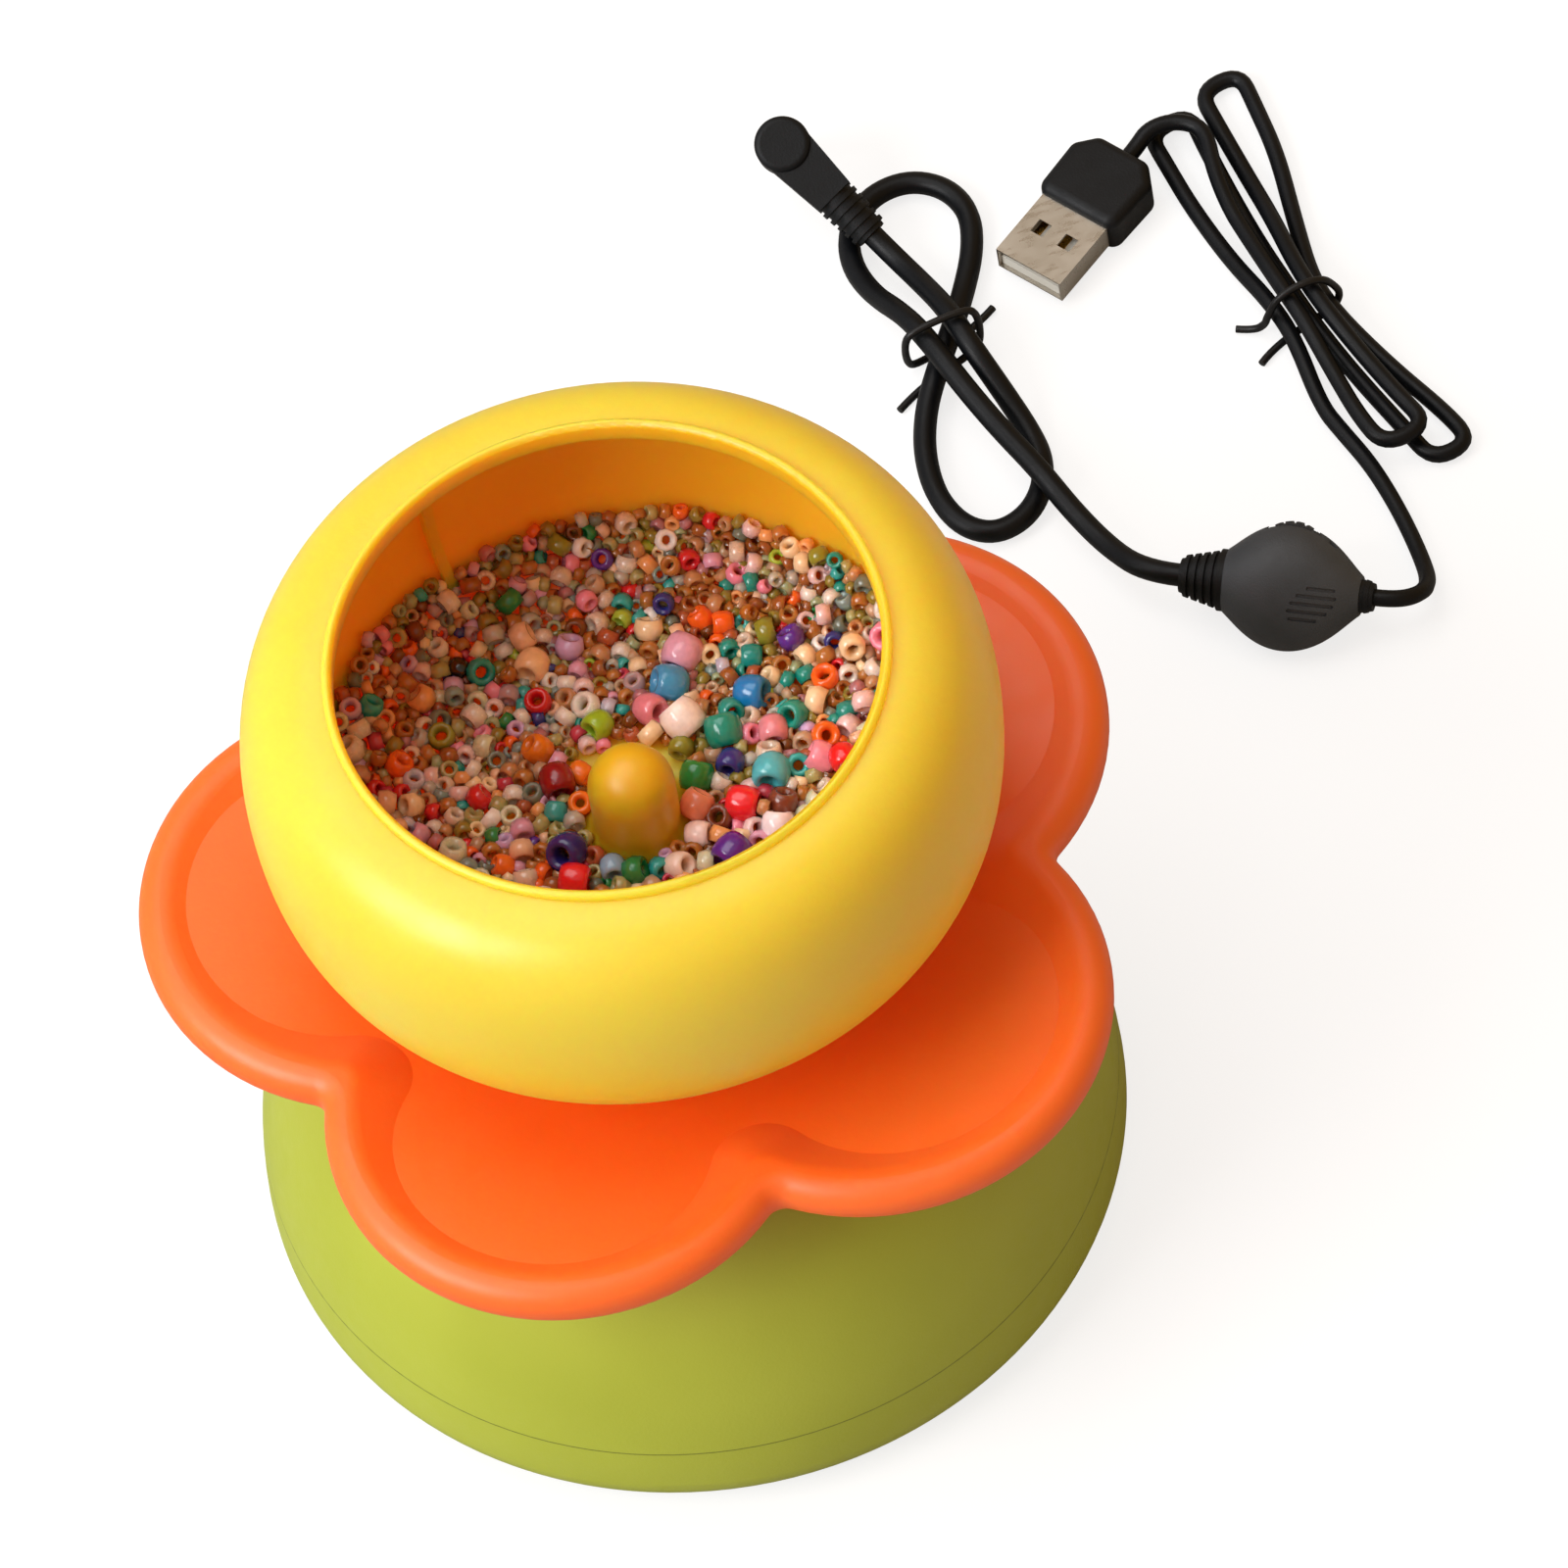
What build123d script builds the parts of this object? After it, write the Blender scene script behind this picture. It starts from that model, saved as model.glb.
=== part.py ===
from build123d import *
import math
import os

os.makedirs("parts", exist_ok=True)

# Electric bead spinner: a bowl on a motor driven spindle, over a five petal tray
# and a round base, with its speed controller and leads lying beside it.
# Lengths are millimetres and angles are degrees. Z is up.
# The origin is on the spin axis, at the underside of the non slip pad.

# Fits
running_gap = 0.04
seat_gap = 0.05
slide_gap = 0.3
overrun = 5.0

# Base: a dome on a rounded dish
base_radius = 64.0
base_underside = 1.0
base_edge_radius = 7.0
base_wall = 2.4
base_floor = 3.0
base_seam_height = 16.0
dome_top_height = 62.0
dome_top_radius = 26.0
seam_lip_height = 2.0
seam_lip_thickness = 1.6
seam_lip_setback = 1.0
seam_band_height = 5.0

# Non slip pad under the base
pad_radius = 42.0
pad_thickness = 2.0

# Case screws: the head sits in the floor, the shank bites into a post
screw_radius = 1.5
screw_head_radius = 2.7
screw_head_height = 1.8
screw_boss_radius = 4.2
screw_boss_height = 2.0
screw_length = 12.0
driver_slot_depth = 0.8
driver_slot_width = 0.8
base_screw_count = 4
base_screw_circle = 50.0
base_screw_start = 45.0

# Neck on the dome that carries the upper bush
neck_radius = 11.0
neck_height = 9.0

# Petal tray
petal_count = 5
petal_centre_circle = 39.7
petal_radius = 35.3
petal_first_angle = 90.0
notch_fillet = 2.6
tray_rim_bottom = 67.9
tray_rim_height = 7.4
tray_rim_round = 3.4
tray_rim_width = 4.6
tray_slope_angle = 64.0
tray_slope_drop = 4.2
tray_lip_blend = 4.6
tray_web = 2.6
tray_centre_height = 67.6
tray_edge_height = 74.7
tray_edge_radius = 78.0
tray_flat_radius = 34.0
tray_lift_radius = 48.0
tray_lift_height = 73.4
tray_collar_thickness = 2.7
tray_screw_count = 3
tray_screw_circle = 19.0
tray_screw_start = 90.0
tray_boss_radius = 3.4
tray_screw_length = 6.5

# Spindle and its bearings
spindle_radius = 3.0
spindle_bottom = 29.4
spindle_top = 86.0
spindle_chamfer = 0.4
bush_wall = 1.5
bush_flange_radius = 6.5
bush_flange_thickness = 1.0
washer_thickness = 0.5
clip_thickness = 0.7
clip_radius = 4.8
clip_groove_radius = 2.4
clip_mouth = 3.4

# Gear train
gear_module = 0.8
gear_teeth = 60
pinion_teeth = 12
profile_shift_share = 0.3
pressure_angle = 20.0
tooth_backlash = 0.12
tooth_clearance_share = 0.25
gear_thickness = 5.0
gear_hub_radius = 6.0
gear_hub_height = 8.0
gear_rim_lift = 1.0
gear_rim_depth = 3.4
gear_web_thickness = 2.2
gear_hole_radius = 3.4
gear_hole_circle = 13.0
gear_hole_count = 5
gear_pin_radius = 0.75
gear_pin_inset = 1.1
gear_pin_setback = 0.2
pinion_drop = 0.5
pinion_length = 7.0

# Motor, beside the spindle
motor_radius = 12.2
motor_flat = 10.4
motor_round = 1.2
motor_can_height = 28.8
motor_cap_height = 2.4
motor_cap_step = 0.8
motor_boss_radius = 3.0
motor_boss_height = 1.6
motor_shaft_radius = 1.0
motor_shaft_height = 12.0
motor_bearing_depth = 2.0
motor_cap_skin = 0.8
motor_screw_pitch = 17.0
motor_screw_radius = 1.3
motor_screw_head_radius = 2.3
motor_screw_head_height = 1.4
motor_screw_bite = 2.0
terminal_width = 2.4
terminal_thickness = 0.5
terminal_height = 2.2
terminal_offset = 5.5

# Frame that holds the motor and the lower bush
frame_bottom = 38.0
frame_thickness = 2.5
frame_hub_radius = 7.5
frame_hub_depth = 6.0
frame_motor_margin = 1.6
frame_edge_round = 0.6
pillar_radius = 4.0
pillar_side = 22.0
pillar_front = 10.0
pillar_back_gap = 6.0

# Hub that drives the bowl
hub_disc_radius = 17.0
hub_disc_thickness = 3.0
hub_sleeve_radius = 6.4
hub_sleeve_height = 3.6
hub_sleeve_gap = 0.4
spindle_flat = 2.5
spindle_flat_length = 8.0
spigot_flats = 8.0
spigot_height = 19.0
spigot_chamfer = 1.0
hub_screw_radius = 1.25
hub_screw_head_radius = 2.3
hub_screw_head_height = 1.8
hub_screw_depth = 8.0
hub_screw_length = 9.0

# Bowl
bowl_radius = 55.1
bowl_mouth_radius = 39.7
bowl_rim_height = 132.4
bowl_widest_height = 111.3
bowl_bottom_height = 84.0
bowl_bottom_radius = 20.0
bowl_floor_thickness = 3.2
bowl_wall = 2.4
bowl_lip_height = 1.2
bowl_lip_width = 1.5
bowl_lip_round = 0.7
bowl_seam_height = 93.0
bowl_upper_fullness_share = 0.64
bowl_lower_fullness_share = 0.80
bowl_seat_outer = 15.0
bowl_seat_wall = 2.4
bowl_rib_width = 1.6
bowl_rib_depth = 1.8
bowl_rib_bottom = 94.0
bowl_rib_top = 112.0
bowl_rib_angle = 106.0
post_radius = 6.4
post_top = 104.1
post_foot_flare = 3.4
socket_depth = 16.0

# Power socket at the back of the base
jack_width = 9.0
jack_depth = 11.0
jack_tall = 10.0
jack_nose_radius = 3.4
jack_nose_reach = 0.4
jack_setback = 0.5
barrel_radius = 1.75
barrel_length = 9.5
barrel_root_radius = 1.5
barrel_root_length = 1.8
barrel_bore_radius = 0.8
jack_pin_radius = 0.65
jack_pin_length = 8.5
lead_wire_radius = 0.6
# Places along the motor wires, between the socket and the terminals
red_wire_route = [
    (2.2, 43.8, 7.6),
    (0.8, 38.6, 5.8),
    (-3.4, 32.0, 4.7),
    (-8.6, 24.4, 4.7),
    (-12.8, 16.0, 4.7),
    (-15.2, 7.8, 4.7),
    (-18.2, 0.2, 4.7),
    (-23.0, -4.6, 4.9),
]
black_wire_route = [
    (-2.4, 43.6, 7.6),
    (-4.8, 38.4, 5.8),
    (-9.4, 32.4, 4.7),
    (-15.0, 26.0, 4.7),
    (-20.0, 18.8, 4.7),
    (-22.8, 11.6, 4.7),
    (-25.0, 7.0, 4.9),
]
wire_start_height = 8.0
wire_start_side = 2.2
wire_end_height = 5.2

# Power lead and its right angle plug, propped on the barrel
power_cord_radius = 2.0
plug_head_place = (66.4, 156.9)
plug_heading = -61.4
plug_slope = 24.0
plug_roll = 20.0
plug_head_radius = 4.3
plug_back = 4.0
plug_front = 5.0
plug_body_length = 11.2
plug_body_start_width = 8.2
plug_body_back = 3.2
plug_body_width = 6.4
plug_body_front = 3.0
plug_round = 1.0
plug_relief_length = 8.0
plug_relief_start = 2.9
plug_relief_end = 2.45
plug_rib_count = 5
plug_rib_proud = 0.45
power_cord_route = [
    (79.2, 130.4, 4.8),
    (80.7, 122.4, 8.2),
    (81.8, 115.2, 8.2),
    (84.2, 107.6, 4.4),
    (85.9, 101.0, 2.0),
    (86.2, 95.3, 2.0),
    (84.3, 89.8, 2.0),
    (80.3, 86.0, 2.0),
    (75.1, 85.0, 2.0),
    (70.9, 88.3, 2.0),
    (69.0, 95.0, 2.0),
    (69.8, 103.0, 2.0),
    (72.6, 110.3, 2.4),
    (76.8, 116.2, 3.7),
    (80.4, 121.2, 3.7),
    (84.6, 128.2, 2.2),
    (88.6, 135.4, 2.0),
    (90.4, 142.2, 2.0),
    (88.4, 148.0, 2.0),
    (83.4, 151.4, 2.0),
    (77.2, 150.8, 2.0),
    (72.2, 146.4, 2.0),
    (70.4, 140.0, 2.0),
    (71.6, 132.6, 3.2),
    (74.6, 124.0, 7.6),
    (76.6, 116.6, 8.2),
    (78.7, 108.4, 7.4),
    (81.4, 99.6, 6.6),
    (84.4, 90.8, 6.6),
    (87.0, 82.4, 5.0),
    (90.0, 74.2, 4.8),
]
plug_lead_out = 4.5
controller_lead_in = 5.5
controller_lead_out = 3.6

# Speed controller in the lead
controller_place = (111.9, 55.8)
controller_heading = -30.0
controller_roll = 35.0
controller_seam = 1.6
controller_wall = 1.3
controller_places = [-9.0, -6.2, -1.6, 3.4, 8.0, 11.6]
controller_half_widths = [4.9, 7.2, 9.4, 9.1, 6.4, 3.0]
controller_half_heights = [4.6, 5.6, 6.2, 5.8, 4.5, 2.8]
collar_radius = 4.7
collar_length = 1.0
inlet_relief_length = 6.0
inlet_relief_start = 4.1
inlet_relief_end = 2.6
inlet_rib_count = 4
inlet_rib_proud = 0.4
outlet_relief_length = 2.0
outlet_relief_start = 2.6
outlet_relief_end = 2.1
outlet_rib_proud = 0.15
wheel_radius = 5.3
wheel_thickness = 2.2
wheel_x = 0.4
wheel_y = 4.7
wheel_notches = 20
wheel_notch_radius = 0.35
wheel_bore_radius = 1.5
wheel_slot_gap = 0.35
pot_radius = 2.0
pot_flange_thickness = 0.25
pot_stub_radius = 1.42
pot_stub_height = 1.8
board_length = 7.0
board_width = 10.4
board_thickness = 1.0
board_post_radius = 1.2
board_post_side = 2.6
grip_groove_count = 5
grip_groove_pitch = 1.2
grip_groove_width = 0.55
grip_groove_skew = 0.6
grip_patch_x = 5.0
grip_patch_y = -2.0
grip_patch_half_length = 3.2
grip_patch_half_width = 3.2
grip_groove_depth = 0.35
pry_recess_x = 7.0
pry_recess_length = 1.8
pry_recess_depth = 0.9
pry_recess_reach = 1.0

# USB lead: run from the controller, tied hank, tail to the plug
usb_cord_radius = 1.55
usb_run_route = [
    (130.9, 48.2, 5.6),
    (132.9, 51.5, 3.2),
    (133.4, 56.8, 1.75),
    (133.3, 63.6, 1.55),
    (132.7, 70.4, 1.55),
    (131.7, 76.6, 1.55),
]
hank_lead_in = 6.0
hank_place = (131.5, 105.5)
hank_heading = -80.0
hank_reach = 38.0
hank_bow_near = 3.5
hank_bow_far = 2.0
hank_lift = 1.6
strand_gap = 0.45
# Places along the hank: along it, across it, layer (0 floor, 1 above, 2 lifted, 3 above lifted,
# 4 climbing), heading
hank_places = [
    (16.0, -6.6, 0, 180),
    (4.0, -3.75, 2, 180),
    (-4.0, -3.75, 2, 180),
    (-14.0, -4.9, 0, 186),
    (-26.0, -5.9, 0, 180),
    (-38.0, -5.9, 0, 180),
    (-41.1, -2.8, 0, 90),
    (-38.0, 0.3, 0, 0),
    (-24.0, 0.3, 0, 0),
    (-14.0, 0.2, 0, -2),
    (-4.0, 0.0, 2, 0),
    (4.0, 0.0, 2, 0),
    (14.0, 0.7, 0, 4),
    (30.0, 1.2, 0, 0),
    (33.3, 4.5, 0, 90),
    (30.0, 7.8, 0, 180),
    (16.0, 5.9, 0, 192),
    (4.0, 3.75, 2, 180),
    (-4.0, 3.75, 2, 180),
    (-16.0, 6.9, 0, 165),
    (-28.0, 9.8, 0, 171),
    (-40.5, 10.2, 0, 180),
    (-43.6, 7.1, 0, 270),
    (-40.5, 4.0, 0, 0),
    (-26.0, 4.0, 0, 0),
    (-16.0, 3.4, 4, -6),
    (-4.0, 1.85, 3, 0),
    (4.0, 1.85, 3, 0),
    (14.0, 2.6, 1, 3),
    (26.0, 2.6, 1, 0),
    (29.3, -0.7, 1, 270),
    (26.0, -4.0, 1, 180),
    (14.0, -2.8, 1, 173),
    (4.0, -1.85, 3, 180),
    (-4.0, -1.85, 3, 180),
    (-16.0, -1.6, 1, 180),
]
# Places along the tail after the hank
tail_lead_out = 5.0
tail_route = [
    (127.0, 133.6, 5.1),
    (128.2, 141.0, 5.1),
    (124.8, 144.1, 5.1),
]
tail_axis_reach = 6.0
tail_axis_height = 5.0
tail_lead_in = 2.6
tail_plug_height = 4.0

# USB plug, flat on its back
usb_plug_back = (115.3, 140.9)
usb_plug_heading = -145.0
usb_grip_length = 13.0
usb_grip_width = 15.0
usb_grip_height = 7.6
usb_grip_round = 1.6
usb_grip_back_width = 9.0
usb_shell_width = 12.0
usb_shell_height = 4.5
usb_shell_length = 12.0
usb_shell_wall = 0.3
usb_shell_buried = 5.0
usb_grip_shoulder = 3.2
usb_grip_front_width = 14.4
usb_grip_corner = 2.0
usb_tongue_height = 1.9
usb_tongue_setback = 0.6
usb_contact_count = 4
usb_contact_pitch = 2.3
usb_contact_width = 1.1
usb_contact_thickness = 0.2
usb_contact_length = 8.0
usb_latch_width = 2.3
usb_latch_length = 2.5
usb_latch_place = 5.2
usb_latch_spacing = 5.0

# Wire ties
# Places along a tie: across the cords, along them, height
tie_wire_radius = 0.6
tie_bend_radius = 1.6
power_tie_place = (78.6, 119.0)
power_tie_heading = -80.2
power_tie_route = [
    (-10.5, 4.6, 0.65),
    (-6.0, 2.6, 0.65),
    (4.2, 1.2, 0.65),
    (5.9, 0.9, 3.0),
    (5.9, 0.6, 9.2),
    (4.2, 0.3, 11.15),
    (-4.2, -0.3, 11.15),
    (-6.0, -0.6, 9.2),
    (-6.0, -1.0, 2.8),
    (-4.4, -1.3, 0.65),
    (6.0, -2.4, 0.65),
    (10.5, -4.4, 0.65),
]
usb_tie_route = [
    (-9.6, 4.0, 0.65),
    (-6.4, 2.2, 0.65),
    (4.4, 0.9, 0.65),
    (6.1, 0.6, 2.4),
    (5.9, 0.4, 4.6),
    (3.4, 0.2, 9.2),
    (-3.4, -0.2, 9.2),
    (-5.9, -0.4, 4.6),
    (-6.1, -0.8, 2.6),
    (-7.6, -1.8, 0.8),
    (-9.8, -3.6, 0.65),
]


# Helpers


def save(part, name):
    """Label one finished piece and write it."""
    part.label = name
    export_step(part, f"parts/{name}.step")


def polar(radius, angle):
    """Point on a circle about the spin axis."""
    turn = math.radians(angle)
    return radius * math.cos(turn), radius * math.sin(turn)


def ring(inner, outer, bottom, height):
    """A plain tube standing on the spin axis."""
    with BuildPart() as tube:
        with BuildSketch(Plane.XY.offset(bottom)):
            Circle(outer)
            Circle(inner, mode=Mode.SUBTRACT)
        extrude(amount=height)
    return tube.part


def screw_set(places, start, head_radius, head_height, radius, length, points_up=True):
    """Pan head screws that share one size, one solid at each place."""
    way = 1 if points_up else -1
    with BuildPart() as screws:
        with BuildSketch(Plane.XY.offset(start)):
            with Locations(*places):
                Circle(head_radius)
        extrude(amount=way * head_height)
        with BuildSketch(Plane.XY.offset(start + way * head_height)):
            with Locations(*places):
                Circle(radius)
        extrude(amount=way * length)
        with BuildSketch(Plane.XY.offset(start)):
            with Locations(*places):
                Rectangle(2 * head_radius, driver_slot_width)
        extrude(amount=way * driver_slot_depth, mode=Mode.SUBTRACT)
    return screws.part


def cord_radii(points, limit=math.inf):
    """Arc radius at each inner point: 0.45 of the shorter run over the tangent of half the turn."""
    radii = []
    for before, here, after in zip(points, points[1:], points[2:]):
        first = Vector(*here) - Vector(*before)
        second = Vector(*after) - Vector(*here)
        turn = math.radians(first.get_angle(second))
        fitting = 0.45 * min(first.length, second.length) / math.tan(turn / 2)
        radii.append(min(fitting, limit))
    return radii


def cord_tube(name, points, radius, limit=math.inf):
    """A cord along straight runs joined by tangent arcs."""
    radii = cord_radii(points, limit)
    with BuildLine() as path:
        FilletPolyline(*points, radius=radii)
    route = path.wire()
    with BuildPart() as cord:
        with BuildSketch(Plane(origin=route @ 0, z_dir=route % 0)):
            Circle(radius)
        sweep(path=route)
    share = cord.part.volume / (math.pi * radius**2 * route.length)
    print(f"{name}: length {route.length:.1f}, smallest radius {min(radii):.1f}, volume share {share:.3f}")
    return cord.part


def arc_middle(start, tangent, end):
    """Middle of the arc that leaves start along tangent and ends at end."""
    chord = end - start
    along = chord.normalized()
    sideways = tangent - along * tangent.dot(along)
    if sideways.length < 1e-6:
        return None
    half_sweep = tangent.get_angle(chord)
    rise = chord.length / 2 * math.tan(math.radians(half_sweep) / 2)
    return start + chord * 0.5 + sideways.normalized() * rise


def biarc_joint(start, start_tangent, end, end_tangent):
    """Where the two arcs of a biarc with equal tangent lengths meet."""
    span = end - start
    both = start_tangent + end_tangent
    square = 2 * (start_tangent.dot(end_tangent) - 1)
    linear = -2 * span.dot(both)
    constant = span.dot(span)
    if abs(square) < 1e-9:
        reach = -constant / linear
    else:
        reach = (-linear - math.sqrt(linear**2 - 4 * square * constant)) / (2 * square)
    return (start + end + (start_tangent - end_tangent) * reach) * 0.5


# Base

dome_reach = base_radius - dome_top_radius
base_widest_height = base_underside + base_edge_radius
dome_rise = dome_top_height - base_widest_height
base_floor_radius = base_radius - base_edge_radius
floor_top = base_underside + base_floor
post_bottom = floor_top + screw_boss_height
screw_bottom = floor_top - screw_head_height
base_screw_places = [
    polar(base_screw_circle, base_screw_start + turn * 360 / base_screw_count)
    for turn in range(base_screw_count)
]
tray_screw_places = [
    polar(tray_screw_circle, tray_screw_start + turn * 360 / tray_screw_count)
    for turn in range(tray_screw_count)
]
gear_pitch_radius = gear_module * gear_teeth / 2
pinion_pitch_radius = gear_module * pinion_teeth / 2
motor_x = -(gear_pitch_radius + pinion_pitch_radius)
pillar_places = [
    (pillar_front, pillar_side),
    (pillar_front, -pillar_side),
    (motor_x - motor_radius - pillar_back_gap, 0),
]


def base_section(inset, floor_inset):
    """Half section of the base, inset from its outer surface."""
    with BuildSketch(Plane.XZ) as section:
        with BuildLine():
            edge = CenterArc(
                (base_floor_radius, base_widest_height), base_edge_radius - inset, 270, 90
            )
            side = EllipticalCenterArc(
                (dome_top_radius, base_widest_height),
                dome_reach - inset,
                dome_rise - inset,
                start_angle=0,
                arc_size=90,
            )
            bottom = base_underside + floor_inset
            top = dome_top_height - inset
            Line(side @ 1, (0, top))
            Line((0, top), (0, bottom))
            Line((0, bottom), (base_floor_radius, bottom))
            if floor_inset > inset:
                Line((base_floor_radius, bottom), edge @ 0)
        make_face()
    return section.sketch


with BuildPart() as base_body:
    add(base_section(0, 0))
    revolve(axis=Axis.Z)

with BuildPart() as base_hollow:
    add(base_section(base_wall, base_wall))
    revolve(axis=Axis.Z)

# Upper shell of the base: dome, neck for the bush, posts for the screws
with BuildPart() as shell_hollow:
    add(base_hollow.part)
    with BuildSketch(Plane.XY.offset(post_bottom)):
        with Locations(*base_screw_places):
            Circle(screw_boss_radius)
    extrude(amount=dome_top_height, mode=Mode.SUBTRACT)

with BuildPart() as base_shell:
    add(base_body.part)
    add(shell_hollow.part, mode=Mode.SUBTRACT)
    split(bisect_by=Plane.XY.offset(base_seam_height), keep=Keep.TOP)
    with BuildSketch(Plane.XY.offset(post_bottom)):
        with Locations(*base_screw_places):
            Circle(screw_boss_radius)
    extrude(amount=base_seam_height - post_bottom + seat_gap)
    with BuildSketch(Plane.XY.offset(dome_top_height - base_wall)):
        Circle(neck_radius)
    extrude(amount=base_wall + neck_height)
    with BuildSketch(Plane.XY.offset(dome_top_height - base_wall)):
        Circle(spindle_radius + bush_wall + seat_gap)
    extrude(amount=base_wall + neck_height, mode=Mode.SUBTRACT)
    with BuildSketch(Plane.XY.offset(dome_top_height - base_wall)):
        with Locations(*tray_screw_places):
            Circle(screw_radius + seat_gap)
    extrude(amount=base_wall, mode=Mode.SUBTRACT)
    with BuildSketch(Plane.XY.offset(post_bottom)):
        with Locations(*base_screw_places):
            Circle(screw_radius + seat_gap)
    extrude(amount=screw_length, mode=Mode.SUBTRACT)
save(base_shell.part, "base_shell")

# Lower shell of the base: floor, seam lip, screw bosses, socket opening
lip_outer = base_radius - base_wall - seam_lip_setback
lip_inner = lip_outer - seam_lip_thickness
jack_height = floor_top + jack_tall / 2
jack_nose_end = base_radius + jack_nose_reach
jack_front = lip_inner - jack_setback
with BuildPart() as base_plate:
    add(base_body.part)
    add(base_section(base_wall, base_floor))
    revolve(axis=Axis.Z, mode=Mode.SUBTRACT)
    split(bisect_by=Plane.XY.offset(base_seam_height), keep=Keep.BOTTOM)
    with BuildSketch(Plane.XY.offset(base_seam_height - seam_band_height)):
        Circle(base_radius - base_wall + seat_gap)
        Circle(lip_inner, mode=Mode.SUBTRACT)
    extrude(amount=seam_band_height)
    with BuildSketch(Plane.XY.offset(base_seam_height)):
        Circle(lip_outer)
        Circle(lip_inner, mode=Mode.SUBTRACT)
    extrude(amount=seam_lip_height)
    with BuildSketch(Plane.XY.offset(floor_top)):
        with Locations(*base_screw_places, *pillar_places):
            Circle(screw_boss_radius)
    extrude(amount=screw_boss_height)
    with BuildSketch(Plane.XY.offset(base_underside)):
        Circle(pad_radius + seat_gap)
    extrude(amount=pad_thickness - base_underside, mode=Mode.SUBTRACT)
    with BuildSketch(Plane.XY.offset(base_underside)):
        with Locations(*base_screw_places, *pillar_places):
            Circle(screw_head_radius + seat_gap)
    extrude(amount=base_floor, mode=Mode.SUBTRACT)
    with BuildSketch(Plane.XY.offset(floor_top)):
        with Locations(*base_screw_places, *pillar_places):
            Circle(screw_radius + seat_gap)
    extrude(amount=screw_boss_height, mode=Mode.SUBTRACT)
    with BuildSketch(Plane.XZ.offset(-(base_radius - jack_depth))):
        with Locations((0, jack_height)):
            Circle(jack_nose_radius + seat_gap)
    extrude(amount=-(jack_depth + overrun), mode=Mode.SUBTRACT)
save(base_plate.part, "base_plate")

with BuildPart() as non_slip_pad:
    with BuildSketch():
        Circle(pad_radius)
    extrude(amount=pad_thickness)
save(non_slip_pad.part, "non_slip_pad")

# The same screw holds the shells together and the motor frame's pillars
case_screws = screw_set(
    base_screw_places + pillar_places,
    screw_bottom,
    screw_head_radius,
    screw_head_height,
    screw_radius,
    screw_length,
)
save(case_screws, "case_screws")

# Petal tray

tray_rim_top = tray_rim_bottom + tray_rim_height
tray_bore = neck_radius + slide_gap


def petal_outline(inset):
    """Five overlapping discs with the notches between them rounded."""
    with BuildSketch() as outline:
        with PolarLocations(petal_centre_circle, petal_count, start_angle=petal_first_angle):
            Circle(petal_radius - inset)
        Circle(petal_centre_circle)
        notches = [v for v in outline.vertices() if Vector(v.X, v.Y).length > petal_centre_circle]
        fillet(notches, notch_fillet)
    return outline.sketch


def dish_section(drop, outer):
    """Half section under the dish surface, lowered by drop, out to a radius."""
    with BuildSketch(Plane.XZ) as section:
        with BuildLine():
            centre = (tray_bore, tray_centre_height - drop)
            surface = Bezier(
                centre,
                (tray_flat_radius, tray_centre_height - drop),
                (tray_lift_radius, tray_lift_height - drop),
                (tray_edge_radius, tray_edge_height - drop),
            )
            Line(surface @ 1, (tray_edge_radius, outer))
            Line((tray_edge_radius, outer), (tray_bore, outer))
            Line((tray_bore, outer), centre)
        make_face()
    return section.sketch


with BuildPart() as dish_below:
    add(dish_section(0, dome_top_height))
    revolve(axis=Axis.Z)
    add(dish_section(tray_web, dome_top_height))
    revolve(axis=Axis.Z, mode=Mode.SUBTRACT)

with BuildPart() as tray_floor:
    with BuildSketch(Plane.XY.offset(dome_top_height)):
        add(petal_outline(tray_rim_round))
    extrude(amount=tray_rim_top - dome_top_height)
    add(dish_below.part, mode=Mode.INTERSECT)

with BuildPart() as dish_opening:
    with BuildSketch(Plane.XY.offset(tray_rim_top)):
        add(petal_outline(tray_rim_width))
    extrude(amount=-tray_slope_drop, taper=tray_slope_angle)
    extrude(dish_opening.faces().sort_by(Axis.Z)[0], amount=tray_rim_height)

with BuildPart() as petal_tray:
    with BuildSketch(Plane.XY.offset(tray_rim_bottom)):
        add(petal_outline(0))
    extrude(amount=tray_rim_height)
    rims = petal_tray.edges().group_by(Axis.Z)
    fillet(rims[0] + rims[-1], tray_rim_round)
    add(dish_opening.part, mode=Mode.SUBTRACT)
    rim_crest = petal_tray.edges().group_by(Axis.Z)[-1].filter_by(GeomType.CIRCLE)
    opening_radii = (petal_radius - tray_rim_width, notch_fillet)
    inner_crest = [e for e in rim_crest if min(abs(e.radius - r) for r in opening_radii) < seat_gap]
    fillet(inner_crest, tray_lip_blend)
    add(tray_floor.part)
    with BuildSketch(Plane.XY.offset(dome_top_height)):
        Circle(tray_bore + tray_collar_thickness)
        with Locations(*tray_screw_places):
            Circle(tray_boss_radius)
    extrude(amount=tray_centre_height - tray_web / 2 - dome_top_height)
    with BuildSketch(Plane.XY.offset(dome_top_height)):
        Circle(tray_bore)
    extrude(amount=tray_rim_height, mode=Mode.SUBTRACT)
    with BuildSketch(Plane.XY.offset(dome_top_height)):
        with Locations(*tray_screw_places):
            Circle(screw_radius + seat_gap)
    extrude(amount=tray_screw_length - base_wall + seat_gap, mode=Mode.SUBTRACT)
save(petal_tray.part, "petal_tray")

tray_screws = screw_set(
    tray_screw_places,
    dome_top_height - base_wall - screw_head_height,
    screw_head_radius,
    screw_head_height,
    screw_radius,
    tray_screw_length,
)
save(tray_screws, "tray_screws")

# Spindle, its bushes, washer and clip

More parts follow.
